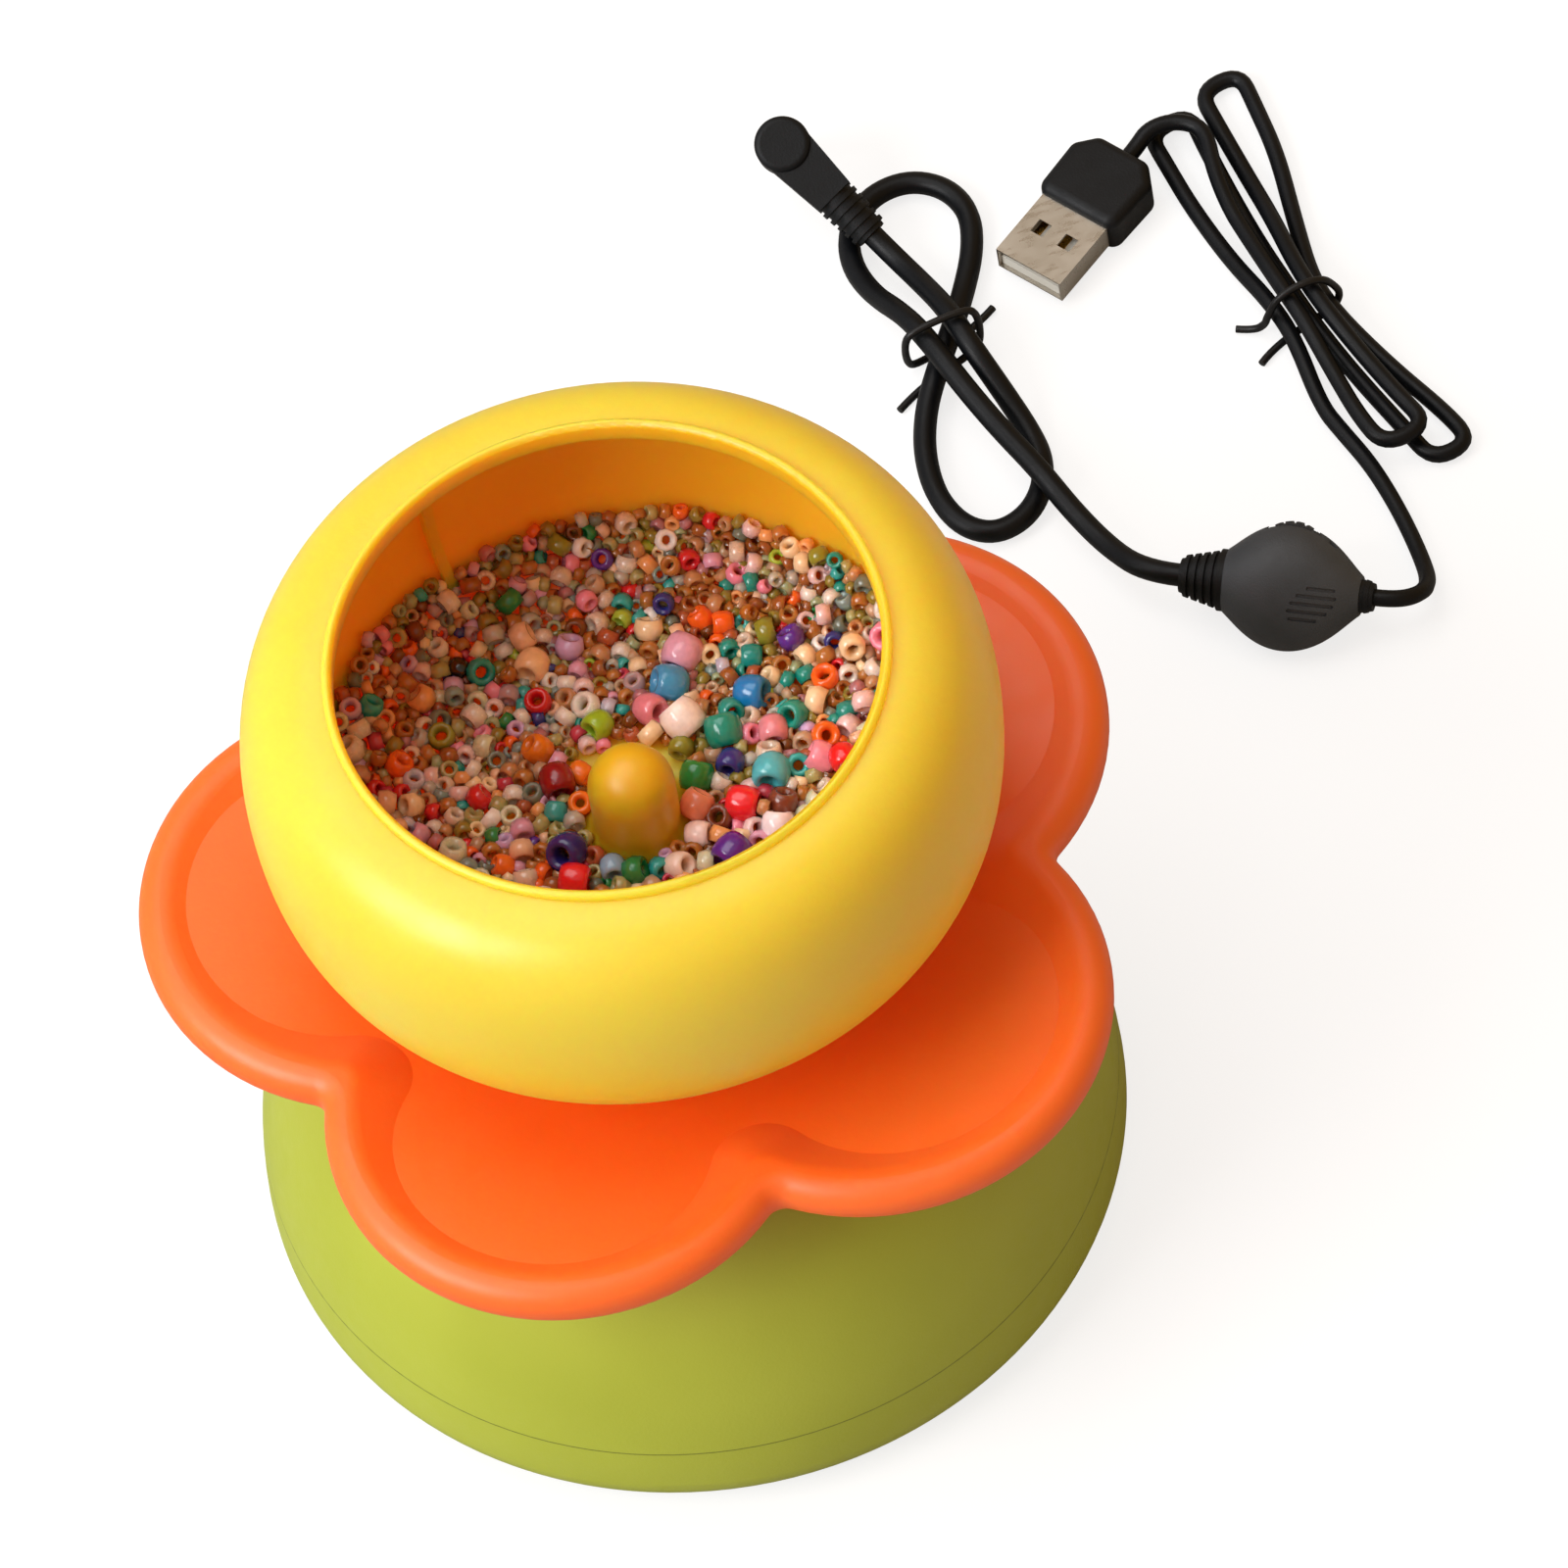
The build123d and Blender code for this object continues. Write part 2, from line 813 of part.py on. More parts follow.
frame_top = frame_bottom + frame_thickness
frame_hub_bottom = frame_bottom - frame_hub_depth
lower_flange_top = frame_top + bush_flange_thickness
neck_top = dome_top_height + neck_height
upper_flange_top = neck_top + bush_flange_thickness
washer_bottom = lower_flange_top + running_gap
gear_bottom = washer_bottom + washer_thickness
gear_hub_top = gear_bottom + gear_hub_height
gear_rim_bottom = gear_bottom + gear_rim_lift
gear_pin_height = gear_hub_top - gear_pin_inset
clip_bottom = frame_hub_bottom - running_gap - clip_thickness
hub_bottom = upper_flange_top + hub_sleeve_gap
hub_disc_bottom = hub_bottom + hub_sleeve_height
hub_disc_top = hub_disc_bottom + hub_disc_thickness
spigot_top = hub_disc_top + spigot_height
hub_screw_seat = spigot_top - hub_screw_depth
flat_bottom = spindle_top - spindle_flat_length


def bush(bottom, top):
    """Flanged plain bearing for the spindle."""
    with BuildPart() as bearing:
        with BuildSketch(Plane.XY.offset(bottom)):
            Circle(spindle_radius + bush_wall)
        extrude(amount=top - bottom)
        with BuildSketch(Plane.XY.offset(top)):
            Circle(bush_flange_radius)
        extrude(amount=bush_flange_thickness)
        with BuildSketch(Plane.XY.offset(bottom)):
            Circle(spindle_radius + running_gap)
        extrude(amount=top - bottom + bush_flange_thickness, mode=Mode.SUBTRACT)
    return bearing.part


save(bush(frame_hub_bottom, frame_top), "lower_bush")
save(bush(dome_top_height - base_wall, neck_top), "upper_bush")

with BuildPart() as spindle:
    with BuildSketch(Plane.XY.offset(spindle_bottom)):
        Circle(spindle_radius)
    extrude(amount=spindle_top - spindle_bottom)
    chamfer(spindle.edges().filter_by(GeomType.CIRCLE), spindle_chamfer)
    with BuildSketch(Plane.XY.offset(clip_bottom - running_gap)):
        Circle(spindle_radius)
        Circle(clip_groove_radius, mode=Mode.SUBTRACT)
    extrude(amount=clip_thickness + 2 * running_gap, mode=Mode.SUBTRACT)
    with BuildSketch(Plane.XY.offset(flat_bottom)):
        with Locations((2 * spindle_flat, 0)):
            Rectangle(2 * spindle_flat, 2 * spindle_radius)
    extrude(amount=spindle_flat_length, mode=Mode.SUBTRACT)
    with BuildSketch(Plane.XY.offset(hub_screw_seat - hub_screw_length - seat_gap)):
        Circle(hub_screw_radius + seat_gap)
    extrude(amount=spindle_top - hub_screw_seat + hub_screw_length + seat_gap, mode=Mode.SUBTRACT)
    with BuildSketch(Plane.YZ.offset(-spindle_radius)):
        with Locations((0, gear_pin_height)):
            Circle(gear_pin_radius + seat_gap)
    extrude(amount=2 * spindle_radius, mode=Mode.SUBTRACT)
save(spindle.part, "spindle")

save(ring(spindle_radius + seat_gap, bush_flange_radius, washer_bottom, washer_thickness), "thrust_washer")

with BuildPart() as circlip:
    with BuildSketch(Plane.XY.offset(clip_bottom)):
        Circle(clip_radius)
        Circle(clip_groove_radius + seat_gap, mode=Mode.SUBTRACT)
        with Locations((clip_radius, 0)):
            Rectangle(2 * clip_radius, clip_mouth, mode=Mode.SUBTRACT)
    extrude(amount=clip_thickness)
save(circlip.part, "circlip")

# Gears: involute teeth, the small one corrected outward and the large one inward


def tooth_half_angle(teeth, shift_share, radius):
    """Half the angle that a tooth spans at a radius, in radians."""
    pitch_radius = gear_module * teeth / 2
    base_circle = pitch_radius * math.cos(math.radians(pressure_angle))
    slope = math.radians(pressure_angle)
    at_pitch = (math.pi / 2 + 2 * shift_share * math.tan(slope)) / teeth
    at_pitch -= tooth_backlash / (4 * pitch_radius)
    local = math.acos(min(1, base_circle / radius))
    return at_pitch + math.tan(slope) - slope - (math.tan(local) - local)


def toothed_disc(teeth, shift_share, first_angle):
    """Sketch of a gear, one tooth centred on first_angle."""
    pitch_radius = gear_module * teeth / 2
    base_circle = pitch_radius * math.cos(math.radians(pressure_angle))
    tip = pitch_radius + gear_module * (1 + shift_share)
    root = pitch_radius - gear_module * (1 + tooth_clearance_share - shift_share)
    flank_start = max(root, base_circle)
    flank = [flank_start, (flank_start + tip) / 2, tip]

    def at(radius, tooth, side):
        turn = first_angle + tooth * 360 / teeth
        turn += side * math.degrees(tooth_half_angle(teeth, shift_share, radius))
        return polar(radius, turn)

    def at_root(tooth, side):
        turn = first_angle + tooth * 360 / teeth
        turn += side * math.degrees(tooth_half_angle(teeth, shift_share, flank_start))
        return polar(root, turn)

    with BuildSketch() as disc:
        with BuildLine():
            for tooth in range(teeth):
                ThreePointArc(*[at(radius, tooth, -1) for radius in flank])
                Line(at(tip, tooth, -1), at(tip, tooth, 1))
                ThreePointArc(*[at(radius, tooth, 1) for radius in reversed(flank)])
                if flank_start > root:
                    Line(at(flank_start, tooth, 1), at_root(tooth, 1))
                    Line(at_root(tooth + 1, -1), at(flank_start, tooth + 1, -1))
                Line(at_root(tooth, 1), at_root(tooth + 1, -1))
        make_face()
    return disc.sketch


gear_root_radius = gear_pitch_radius - gear_module * (1 + tooth_clearance_share + profile_shift_share)
gear_web_bottom = gear_rim_bottom + (gear_thickness - gear_web_thickness) / 2

with BuildPart() as drive_gear:
    with BuildSketch(Plane.XY.offset(gear_rim_bottom)):
        add(toothed_disc(gear_teeth, -profile_shift_share, 0))
        Circle(gear_root_radius - gear_rim_depth, mode=Mode.SUBTRACT)
    extrude(amount=gear_thickness)
    with BuildSketch(Plane.XY.offset(gear_web_bottom)):
        Circle(gear_root_radius - gear_rim_depth / 2)
        with PolarLocations(gear_hole_circle, gear_hole_count):
            Circle(gear_hole_radius, mode=Mode.SUBTRACT)
    extrude(amount=gear_web_thickness)
    with BuildSketch(Plane.XY.offset(gear_bottom)):
        Circle(gear_hub_radius)
    extrude(amount=gear_hub_height)
    with BuildSketch(Plane.XY.offset(gear_bottom)):
        Circle(spindle_radius + seat_gap)
    extrude(amount=gear_hub_height, mode=Mode.SUBTRACT)
    with BuildSketch(Plane.YZ.offset(-gear_hub_radius)):
        with Locations((0, gear_pin_height)):
            Circle(gear_pin_radius + seat_gap)
    extrude(amount=2 * gear_hub_radius, mode=Mode.SUBTRACT)
save(drive_gear.part, "drive_gear")

with BuildPart() as gear_pin:
    with BuildSketch(Plane.YZ.offset(gear_pin_setback - gear_hub_radius)):
        with Locations((0, gear_pin_height)):
            Circle(gear_pin_radius)
    extrude(amount=2 * (gear_hub_radius - gear_pin_setback))
save(gear_pin.part, "gear_pin")

# Motor

can_bottom = frame_bottom - motor_can_height
cap_bottom = can_bottom - motor_cap_height
motor_boss_top = frame_bottom + motor_boss_height
shaft_bottom = cap_bottom + motor_cap_skin
shaft_top = frame_bottom + motor_shaft_height
pinion_bottom = gear_rim_bottom - pinion_drop
motor_screw_places = [(motor_x, motor_screw_pitch / 2), (motor_x, -motor_screw_pitch / 2)]
terminal_places = [(motor_x, terminal_offset), (motor_x, -terminal_offset)]

with BuildPart() as motor_can:
    with BuildSketch(Plane.XY.offset(can_bottom)):
        with Locations((motor_x, 0)):
            Circle(motor_radius)
            Rectangle(2 * motor_radius, 2 * motor_flat, mode=Mode.INTERSECT)
    extrude(amount=motor_can_height)
    fillet(motor_can.edges().group_by(Axis.Z)[-1], motor_round)
    with BuildSketch(Plane.XY.offset(frame_bottom)):
        with Locations((motor_x, 0)):
            Circle(motor_boss_radius)
    extrude(amount=motor_boss_height)
    with BuildSketch(Plane.XY.offset(can_bottom)):
        with Locations((motor_x, 0)):
            Circle(motor_shaft_radius + slide_gap)
    extrude(amount=motor_can_height - motor_bearing_depth, mode=Mode.SUBTRACT)
    with BuildSketch(Plane.XY.offset(can_bottom)):
        with Locations((motor_x, 0)):
            Circle(motor_shaft_radius + running_gap)
    extrude(amount=motor_can_height + motor_boss_height, mode=Mode.SUBTRACT)
    with BuildSketch(Plane.XY.offset(frame_bottom)):
        with Locations(*motor_screw_places):
            Circle(motor_screw_radius + seat_gap)
    extrude(amount=-(motor_screw_bite + seat_gap), mode=Mode.SUBTRACT)
save(motor_can.part, "motor_can")

with BuildPart() as motor_end_cap:
    with BuildSketch(Plane.XY.offset(cap_bottom)):
        with Locations((motor_x, 0)):
            Circle(motor_radius - motor_cap_step)
            Rectangle(2 * motor_radius, 2 * (motor_flat - motor_cap_step), mode=Mode.INTERSECT)
    extrude(amount=motor_cap_height)
    with BuildSketch(Plane.XY.offset(shaft_bottom)):
        with Locations((motor_x, 0)):
            Circle(motor_shaft_radius + running_gap)
    extrude(amount=motor_cap_height, mode=Mode.SUBTRACT)
save(motor_end_cap.part, "motor_end_cap")

with BuildPart() as motor_terminals:
    with BuildSketch(Plane.XY.offset(cap_bottom)):
        with Locations(*terminal_places):
            Rectangle(terminal_thickness, terminal_width)
    extrude(amount=-terminal_height)
save(motor_terminals.part, "motor_terminals")

with BuildPart() as motor_shaft:
    with BuildSketch(Plane.XY.offset(shaft_bottom + running_gap)):
        with Locations((motor_x, 0)):
            Circle(motor_shaft_radius)
    extrude(amount=shaft_top - shaft_bottom - running_gap)
save(motor_shaft.part, "motor_shaft")

with BuildPart() as drive_pinion:
    with BuildSketch(Plane.XY.offset(pinion_bottom)):
        with Locations((motor_x, 0)):
            add(toothed_disc(pinion_teeth, profile_shift_share, 180 / pinion_teeth))
            Circle(motor_shaft_radius + running_gap / 2, mode=Mode.SUBTRACT)
    extrude(amount=pinion_length)
save(drive_pinion.part, "drive_pinion")

# Frame: a plate on three pillars, with the lower bush in its hub
with BuildPart() as motor_frame:
    with BuildSketch(Plane.XY.offset(frame_bottom)):
        with BuildLine():
            CenterArc((0, 0), frame_hub_radius + frame_motor_margin, 0, 360)
            CenterArc((motor_x, 0), motor_radius + frame_motor_margin, 0, 360)
            for place in pillar_places:
                CenterArc(place, pillar_radius + frame_edge_round, 0, 360)
        make_hull()
    extrude(amount=frame_thickness)
    with BuildSketch(Plane.XY.offset(frame_hub_bottom)):
        Circle(frame_hub_radius)
    extrude(amount=frame_hub_depth)
    with BuildSketch(Plane.XY.offset(post_bottom)):
        with Locations(*pillar_places):
            Circle(pillar_radius)
    extrude(amount=frame_bottom - post_bottom)
    with BuildSketch(Plane.XY.offset(frame_hub_bottom)):
        Circle(spindle_radius + bush_wall + seat_gap)
    extrude(amount=frame_hub_depth + frame_thickness, mode=Mode.SUBTRACT)
    with BuildSketch(Plane.XY.offset(frame_bottom)):
        with Locations((motor_x, 0)):
            Circle(motor_boss_radius + seat_gap)
        with Locations(*motor_screw_places):
            Circle(motor_screw_radius + seat_gap)
    extrude(amount=frame_thickness, mode=Mode.SUBTRACT)
    with BuildSketch(Plane.XY.offset(post_bottom)):
        with Locations(*pillar_places):
            Circle(screw_radius + seat_gap)
    extrude(amount=screw_length, mode=Mode.SUBTRACT)
save(motor_frame.part, "motor_frame")

motor_screws = screw_set(
    motor_screw_places,
    frame_top + motor_screw_head_height,
    motor_screw_head_radius,
    motor_screw_head_height,
    motor_screw_radius,
    frame_thickness + motor_screw_bite,
    points_up=False,
)
save(motor_screws, "motor_screws")

# Hub that carries and turns the bowl
with BuildPart() as drive_hub:
    with BuildSketch(Plane.XY.offset(hub_bottom)):
        Circle(hub_sleeve_radius)
    extrude(amount=hub_sleeve_height)
    with BuildSketch(Plane.XY.offset(hub_disc_bottom)):
        Circle(hub_disc_radius)
    extrude(amount=hub_disc_thickness)
    with BuildSketch(Plane.XY.offset(hub_disc_top)):
        RegularPolygon(spigot_flats / 2, 6, major_radius=False)
    extrude(amount=spigot_height)
    chamfer(drive_hub.edges().group_by(Axis.Z)[-1], spigot_chamfer)
    with BuildSketch(Plane.XY.offset(hub_bottom)):
        Circle(spindle_radius + seat_gap)
    extrude(amount=flat_bottom - hub_bottom, mode=Mode.SUBTRACT)
    with BuildSketch(Plane.XY.offset(flat_bottom)):
        Circle(spindle_radius + seat_gap)
        with Locations((2 * spindle_flat + seat_gap, 0)):
            Rectangle(2 * spindle_flat, 2 * spindle_radius, mode=Mode.SUBTRACT)
    extrude(amount=spindle_flat_length, mode=Mode.SUBTRACT)
    with BuildSketch(Plane.XY.offset(spindle_top)):
        Circle(hub_screw_radius + seat_gap)
    extrude(amount=spigot_top - spindle_top, mode=Mode.SUBTRACT)
    with BuildSketch(Plane.XY.offset(hub_screw_seat)):
        Circle(hub_screw_head_radius + seat_gap)
    extrude(amount=hub_screw_depth, mode=Mode.SUBTRACT)
save(drive_hub.part, "drive_hub")

hub_screw = screw_set(
    [(0, 0)],
    hub_screw_seat + hub_screw_head_height,
    hub_screw_head_radius,
    hub_screw_head_height,
    hub_screw_radius,
    hub_screw_length,
    points_up=False,
)
save(hub_screw, "hub_screw")

# Bowl: two shells joined low on the side, a hollow post that drops over the hub's spigot

bowl_shoulder_height = bowl_rim_height - bowl_lip_height
bowl_lip_radius = bowl_mouth_radius + bowl_lip_width
bowl_floor_height = bowl_bottom_height + bowl_floor_thickness


def bowl_section(inset, floor, mouth):
    """Half section of the bowl's round form, inset from its outer surface."""
    side = bowl_radius - inset
    shoulder = bowl_shoulder_height - inset
    drop = bowl_widest_height - floor
    rise = shoulder - bowl_widest_height
    reach = side - bowl_bottom_radius
    draw_in = side - mouth
    with BuildSketch(Plane.XZ) as section:
        with BuildLine():
            Bezier(
                (side, bowl_widest_height),
                (side, bowl_widest_height - bowl_lower_fullness_share * drop),
                (bowl_bottom_radius + bowl_lower_fullness_share * reach, floor),
                (bowl_bottom_radius, floor),
            )
            Bezier(
                (side, bowl_widest_height),
                (side, bowl_widest_height + bowl_upper_fullness_share * rise),
                (mouth + bowl_upper_fullness_share * draw_in, shoulder),
                (mouth, shoulder),
            )
            Line((mouth, shoulder), (mouth, bowl_rim_height))
            Line((mouth, bowl_rim_height), (0, bowl_rim_height))
            Line((0, bowl_rim_height), (0, floor))
            Line((0, floor), (bowl_bottom_radius, floor))
        make_face()
    return section.sketch


with BuildPart() as bowl_shell:
    add(bowl_section(0, bowl_bottom_height, bowl_lip_radius))
    revolve(axis=Axis.Z)
    add(bowl_section(bowl_wall, bowl_floor_height, bowl_mouth_radius))
    revolve(axis=Axis.Z, mode=Mode.SUBTRACT)
    fillet(bowl_shell.edges().group_by(Axis.Z)[-1], bowl_lip_round)

with BuildPart() as bowl_rib:
    with BuildSketch(Plane.XZ) as rib_section:
        add(bowl_section(bowl_wall - slide_gap, bowl_floor_height, bowl_mouth_radius))
        add(
            bowl_section(bowl_wall + bowl_rib_depth, bowl_floor_height, bowl_mouth_radius),
            mode=Mode.SUBTRACT,
        )
        with Locations((bowl_radius / 2, (bowl_rib_bottom + bowl_rib_top) / 2)):
            Rectangle(bowl_radius, bowl_rib_top - bowl_rib_bottom, mode=Mode.INTERSECT)
    extrude(amount=bowl_rib_width / 2, both=True)

with BuildPart() as bowl_upper:
    add(bowl_shell.part)
    split(bisect_by=Plane.XY.offset(bowl_seam_height), keep=Keep.TOP)
    add(bowl_rib.part, rotation=(0, 0, bowl_rib_angle))
save(bowl_upper.part, "bowl_upper")

with BuildPart() as bowl_post:
    with BuildSketch(Plane.XZ):
        with BuildLine():
            dome_start = post_top - post_radius
            flare_top = bowl_floor_height + post_foot_flare
            foot = (post_radius + post_foot_flare, bowl_floor_height)
            Line((0, bowl_bottom_height), (0, post_top))
            RadiusArc((0, post_top), (post_radius, dome_start), post_radius)
            Line((post_radius, dome_start), (post_radius, flare_top))
            RadiusArc((post_radius, flare_top), foot, -post_foot_flare)
            Line(foot, (post_radius + post_foot_flare, bowl_bottom_height))
            Line((post_radius + post_foot_flare, bowl_bottom_height), (0, bowl_bottom_height))
        make_face()
    revolve(axis=Axis.Z)

with BuildPart() as bowl_lower:
    add(bowl_shell.part)
    split(bisect_by=Plane.XY.offset(bowl_seam_height), keep=Keep.BOTTOM)
    add(bowl_post.part)
    with BuildSketch(Plane.XY.offset(hub_disc_top)):
        Circle(bowl_seat_outer)
        Circle(bowl_seat_outer - bowl_seat_wall, mode=Mode.SUBTRACT)
    extrude(amount=bowl_bottom_height - hub_disc_top)
    with BuildSketch(Plane.XY.offset(bowl_bottom_height)):
        RegularPolygon(spigot_flats / 2 + slide_gap, 6, major_radius=False)
    extrude(amount=socket_depth, mode=Mode.SUBTRACT)
save(bowl_lower.part, "bowl_lower")

# Power socket and its wires

jack_back = jack_front - jack_depth
bore_bottom = jack_nose_end - barrel_length

with BuildPart() as dc_jack:
    with BuildSketch(Plane.XZ.offset(-jack_back)):
        with Locations((0, jack_height)):
            Rectangle(jack_width, jack_tall)
    extrude(amount=-jack_depth)
    with BuildSketch(Plane.XZ.offset(-jack_front)):
        with Locations((0, jack_height)):
            Circle(jack_nose_radius)
    extrude(amount=jack_front - jack_nose_end)
    with BuildSketch(Plane.XZ.offset(-bore_bottom)):
        with Locations((0, jack_height)):
            Circle(barrel_radius + seat_gap)
    extrude(amount=-barrel_length, mode=Mode.SUBTRACT)
save(dc_jack.part, "dc_jack")

with BuildPart() as dc_jack_pin:
    with BuildSketch(Plane.XZ.offset(-bore_bottom)):
        with Locations((0, jack_height)):
            Circle(jack_pin_radius)
    extrude(amount=-jack_pin_length)
save(dc_jack_pin.part, "dc_jack_pin")

terminal_face = motor_x + terminal_thickness / 2 + slide_gap
red_wire_points = [
    (wire_start_side, jack_back - seat_gap, wire_start_height),
    *red_wire_route,
    (terminal_face, -terminal_offset, wire_end_height),
]
black_wire_points = [
    (-wire_start_side, jack_back - seat_gap, wire_start_height),
    *black_wire_route,
    (terminal_face, terminal_offset, wire_end_height),
]
save(cord_tube("motor_lead_red", red_wire_points, lead_wire_radius), "motor_lead_red")
save(cord_tube("motor_lead_black", black_wire_points, lead_wire_radius), "motor_lead_black")

# Right angle power plug, resting on the tip of its barrel


def direction(heading, slope):
    """Unit vector with a heading about Z and a slope above the floor."""
    level = math.cos(math.radians(slope))
    turn = math.radians(heading)
    return Vector(level * math.cos(turn), level * math.sin(turn), math.sin(math.radians(slope)))


def strain_relief(plane, length, start, end, count, proud):
    """A tapered sleeve with ribs, along the plane's X axis."""
    rib_pitch = length / (2 * count + 1)
    edge = [(0, 0), (0, start)]
    for rib in range(count):
        near = (2 * rib + 1) * rib_pitch
        far = near + rib_pitch
        near_radius = start + (end - start) * near / length
        far_radius = start + (end - start) * far / length
        edge += [(near, near_radius), (near, near_radius + proud)]
        edge += [(far, far_radius + proud), (far, far_radius)]
    edge += [(length, end), (length, 0)]
    with BuildPart() as sleeve:
        with BuildSketch(plane):
            with BuildLine():
                Polyline(*edge, close=True)
            make_face()
        revolve(axis=Axis(plane.origin, plane.x_dir))
    return sleeve.part


plug_axis = direction(plug_heading, -plug_slope)
plug_side = direction(plug_heading + 90, 0)
plug_down = plug_side.cross(plug_axis).normalized()
plug_turn = math.radians(plug_roll)
barrel_way = plug_down * math.cos(plug_turn) + plug_side * math.sin(plug_turn)
plug_drop = -barrel_way.Z * (plug_front + barrel_length)
plug_drop += barrel_radius * math.hypot(barrel_way.X, barrel_way.Y)
plug_head = Vector(*plug_head_place, plug_drop)
plug_plane = Plane(origin=plug_head, x_dir=plug_axis, z_dir=barrel_way)

with BuildPart() as dc_plug_body:
    with BuildSketch(plug_plane.offset(-plug_back)):
        Circle(plug_head_radius)
    extrude(amount=plug_back + plug_front)
    fillet(dc_plug_body.edges().filter_by(GeomType.CIRCLE), plug_round)
    with BuildSketch(plug_plane.offset(-plug_body_back)):
        with BuildLine():
            Polyline(
                (0, plug_body_start_width / 2),
                (plug_body_length, plug_body_width / 2),
                (plug_body_length, -plug_body_width / 2),
                (0, -plug_body_start_width / 2),
                close=True,
            )
        make_face()
    extrude(amount=plug_body_back + plug_body_front)
    with BuildSketch(plug_plane.offset(plug_front)):
        Circle(barrel_root_radius + seat_gap)
    extrude(amount=-barrel_root_length, mode=Mode.SUBTRACT)
save(dc_plug_body.part, "dc_plug_body")

# The barrel steps down to a root that sits in the plug's body
with BuildPart() as dc_plug_barrel:
    with BuildSketch(plug_plane.offset(plug_front)):
        Circle(barrel_radius)
    extrude(amount=barrel_length)
    with BuildSketch(plug_plane.offset(plug_front)):
        Circle(barrel_root_radius)
    extrude(amount=-barrel_root_length)
    with BuildSketch(plug_plane.offset(plug_front - barrel_root_length)):
        Circle(barrel_bore_radius)
    extrude(amount=barrel_root_length + barrel_length, mode=Mode.SUBTRACT)
save(dc_plug_barrel.part, "dc_plug_barrel")

relief_start = plug_head + plug_axis * plug_body_length
relief_plane = Plane(origin=relief_start, x_dir=plug_axis, z_dir=barrel_way)
dc_strain_relief = strain_relief(
    relief_plane, plug_relief_length, plug_relief_start, plug_relief_end, plug_rib_count, plug_rib_proud
)
save(dc_strain_relief, "dc_strain_relief")

# Speed controller

controller_axis = direction(controller_heading, 0)
controller_side = direction(controller_heading + 90, 0)
roll = math.radians(controller_roll)
controller_across = controller_side * math.cos(roll) + Vector(0, 0, 1) * math.sin(roll)
controller_up = Vector(0, 0, 1) * math.cos(roll) - controller_side * math.sin(roll)
controller_height = math.hypot(
    max(controller_half_widths) * math.sin(roll), max(controller_half_heights) * math.cos(roll)
)
controller_centre = Vector(*controller_place, controller_height)


def controller_point(along, across, up):
    """A point in the controller's own frame."""
    return (
        controller_centre + controller_axis * along + controller_across * across + controller_up * up
    )


def controller_plane(along, across, up):
    """A plane level with the controller's seam."""
    return Plane(
        origin=controller_point(along, across, up), x_dir=controller_axis, z_dir=controller_up
    )


def controller_form(inset):
    """The controller's rounded body, inset from its outer surface."""
    with BuildPart() as form:
        for place, width, height in zip(
            controller_places, controller_half_widths, controller_half_heights
        ):
            centre = controller_point(place, 0, 0)
            with BuildSketch(Plane(origin=centre, x_dir=controller_across, z_dir=controller_axis)):
                Ellipse(width - inset, height - inset)
        loft()
    return form.part


controller_seam_plane = controller_plane(0, 0, controller_seam)
slot_radius = wheel_radius + wheel_slot_gap
slot_half = wheel_thickness / 2 + wheel_slot_gap
grip_rows = [row - (grip_groove_count - 1) / 2 for row in range(grip_groove_count)]
left_end = controller_places[0]
right_end = controller_places[-1]
pry_recess_side = (controller_half_widths[-3] + controller_half_widths[-2]) / 2
board_bottom = -(wheel_thickness / 2 + running_gap + pot_flange_thickness + board_thickness)

with BuildPart() as controller_cavity:
    add(controller_form(controller_wall))
    with BuildSketch(controller_plane(left_end, 0, -wheel_radius)):
        Rectangle(2 * controller_wall, 4 * wheel_radius)
    extrude(amount=2 * wheel_radius, mode=Mode.SUBTRACT)
    with BuildSketch(controller_plane(right_end, 0, -wheel_radius)):
        Rectangle(2 * controller_wall, 4 * wheel_radius)
    extrude(amount=2 * wheel_radius, mode=Mode.SUBTRACT)

with BuildPart() as controller_shell:
    add(controller_form(0))
    add(controller_cavity.part, mode=Mode.SUBTRACT)

# Grip grooves: an oval patch of five, cut to one depth below the crown
with BuildPart() as grip_grooves:
    for row in grip_rows:
        side = row * grip_groove_pitch
        groove_share = math.sqrt(1 - (side / grip_patch_half_width) ** 2)
        middle = controller_plane(
            grip_patch_x + row * grip_groove_skew, grip_patch_y + side, controller_seam
        )
        with BuildSketch(middle):
            SlotOverall(2 * grip_patch_half_length * groove_share, grip_groove_width)
        extrude(amount=2 * wheel_radius)
    add(controller_form(grip_groove_depth), mode=Mode.SUBTRACT)

with BuildPart() as controller_upper:
    add(controller_shell.part)
    split(bisect_by=controller_seam_plane, keep=Keep.TOP)
    add(grip_grooves.part, mode=Mode.SUBTRACT)
save(controller_upper.part, "controller_upper")

with BuildPart() as controller_posts:
    with BuildSketch(controller_plane(0, 0, board_bottom)):
        with Locations((board_post_side, 0), (-board_post_side, 0)):
            Circle(board_post_radius)
    extrude(amount=-wheel_radius)
    add(controller_form(controller_wall / 2), mode=Mode.INTERSECT)

with BuildPart() as controller_lower:
    add(controller_shell.part)
    split(bisect_by=controller_seam_plane, keep=Keep.BOTTOM)
    with BuildSketch(controller_plane(wheel_x, wheel_y, -slot_half)):
        Circle(slot_radius)
    extrude(amount=2 * slot_half, mode=Mode.SUBTRACT)
    with BuildSketch(controller_plane(pry_recess_x, pry_recess_side, controller_seam)):
        Rectangle(pry_recess_length, 2 * pry_recess_reach)
    extrude(amount=-pry_recess_depth, mode=Mode.SUBTRACT)
    add(controller_posts.part)
save(controller_lower.part, "controller_lower")

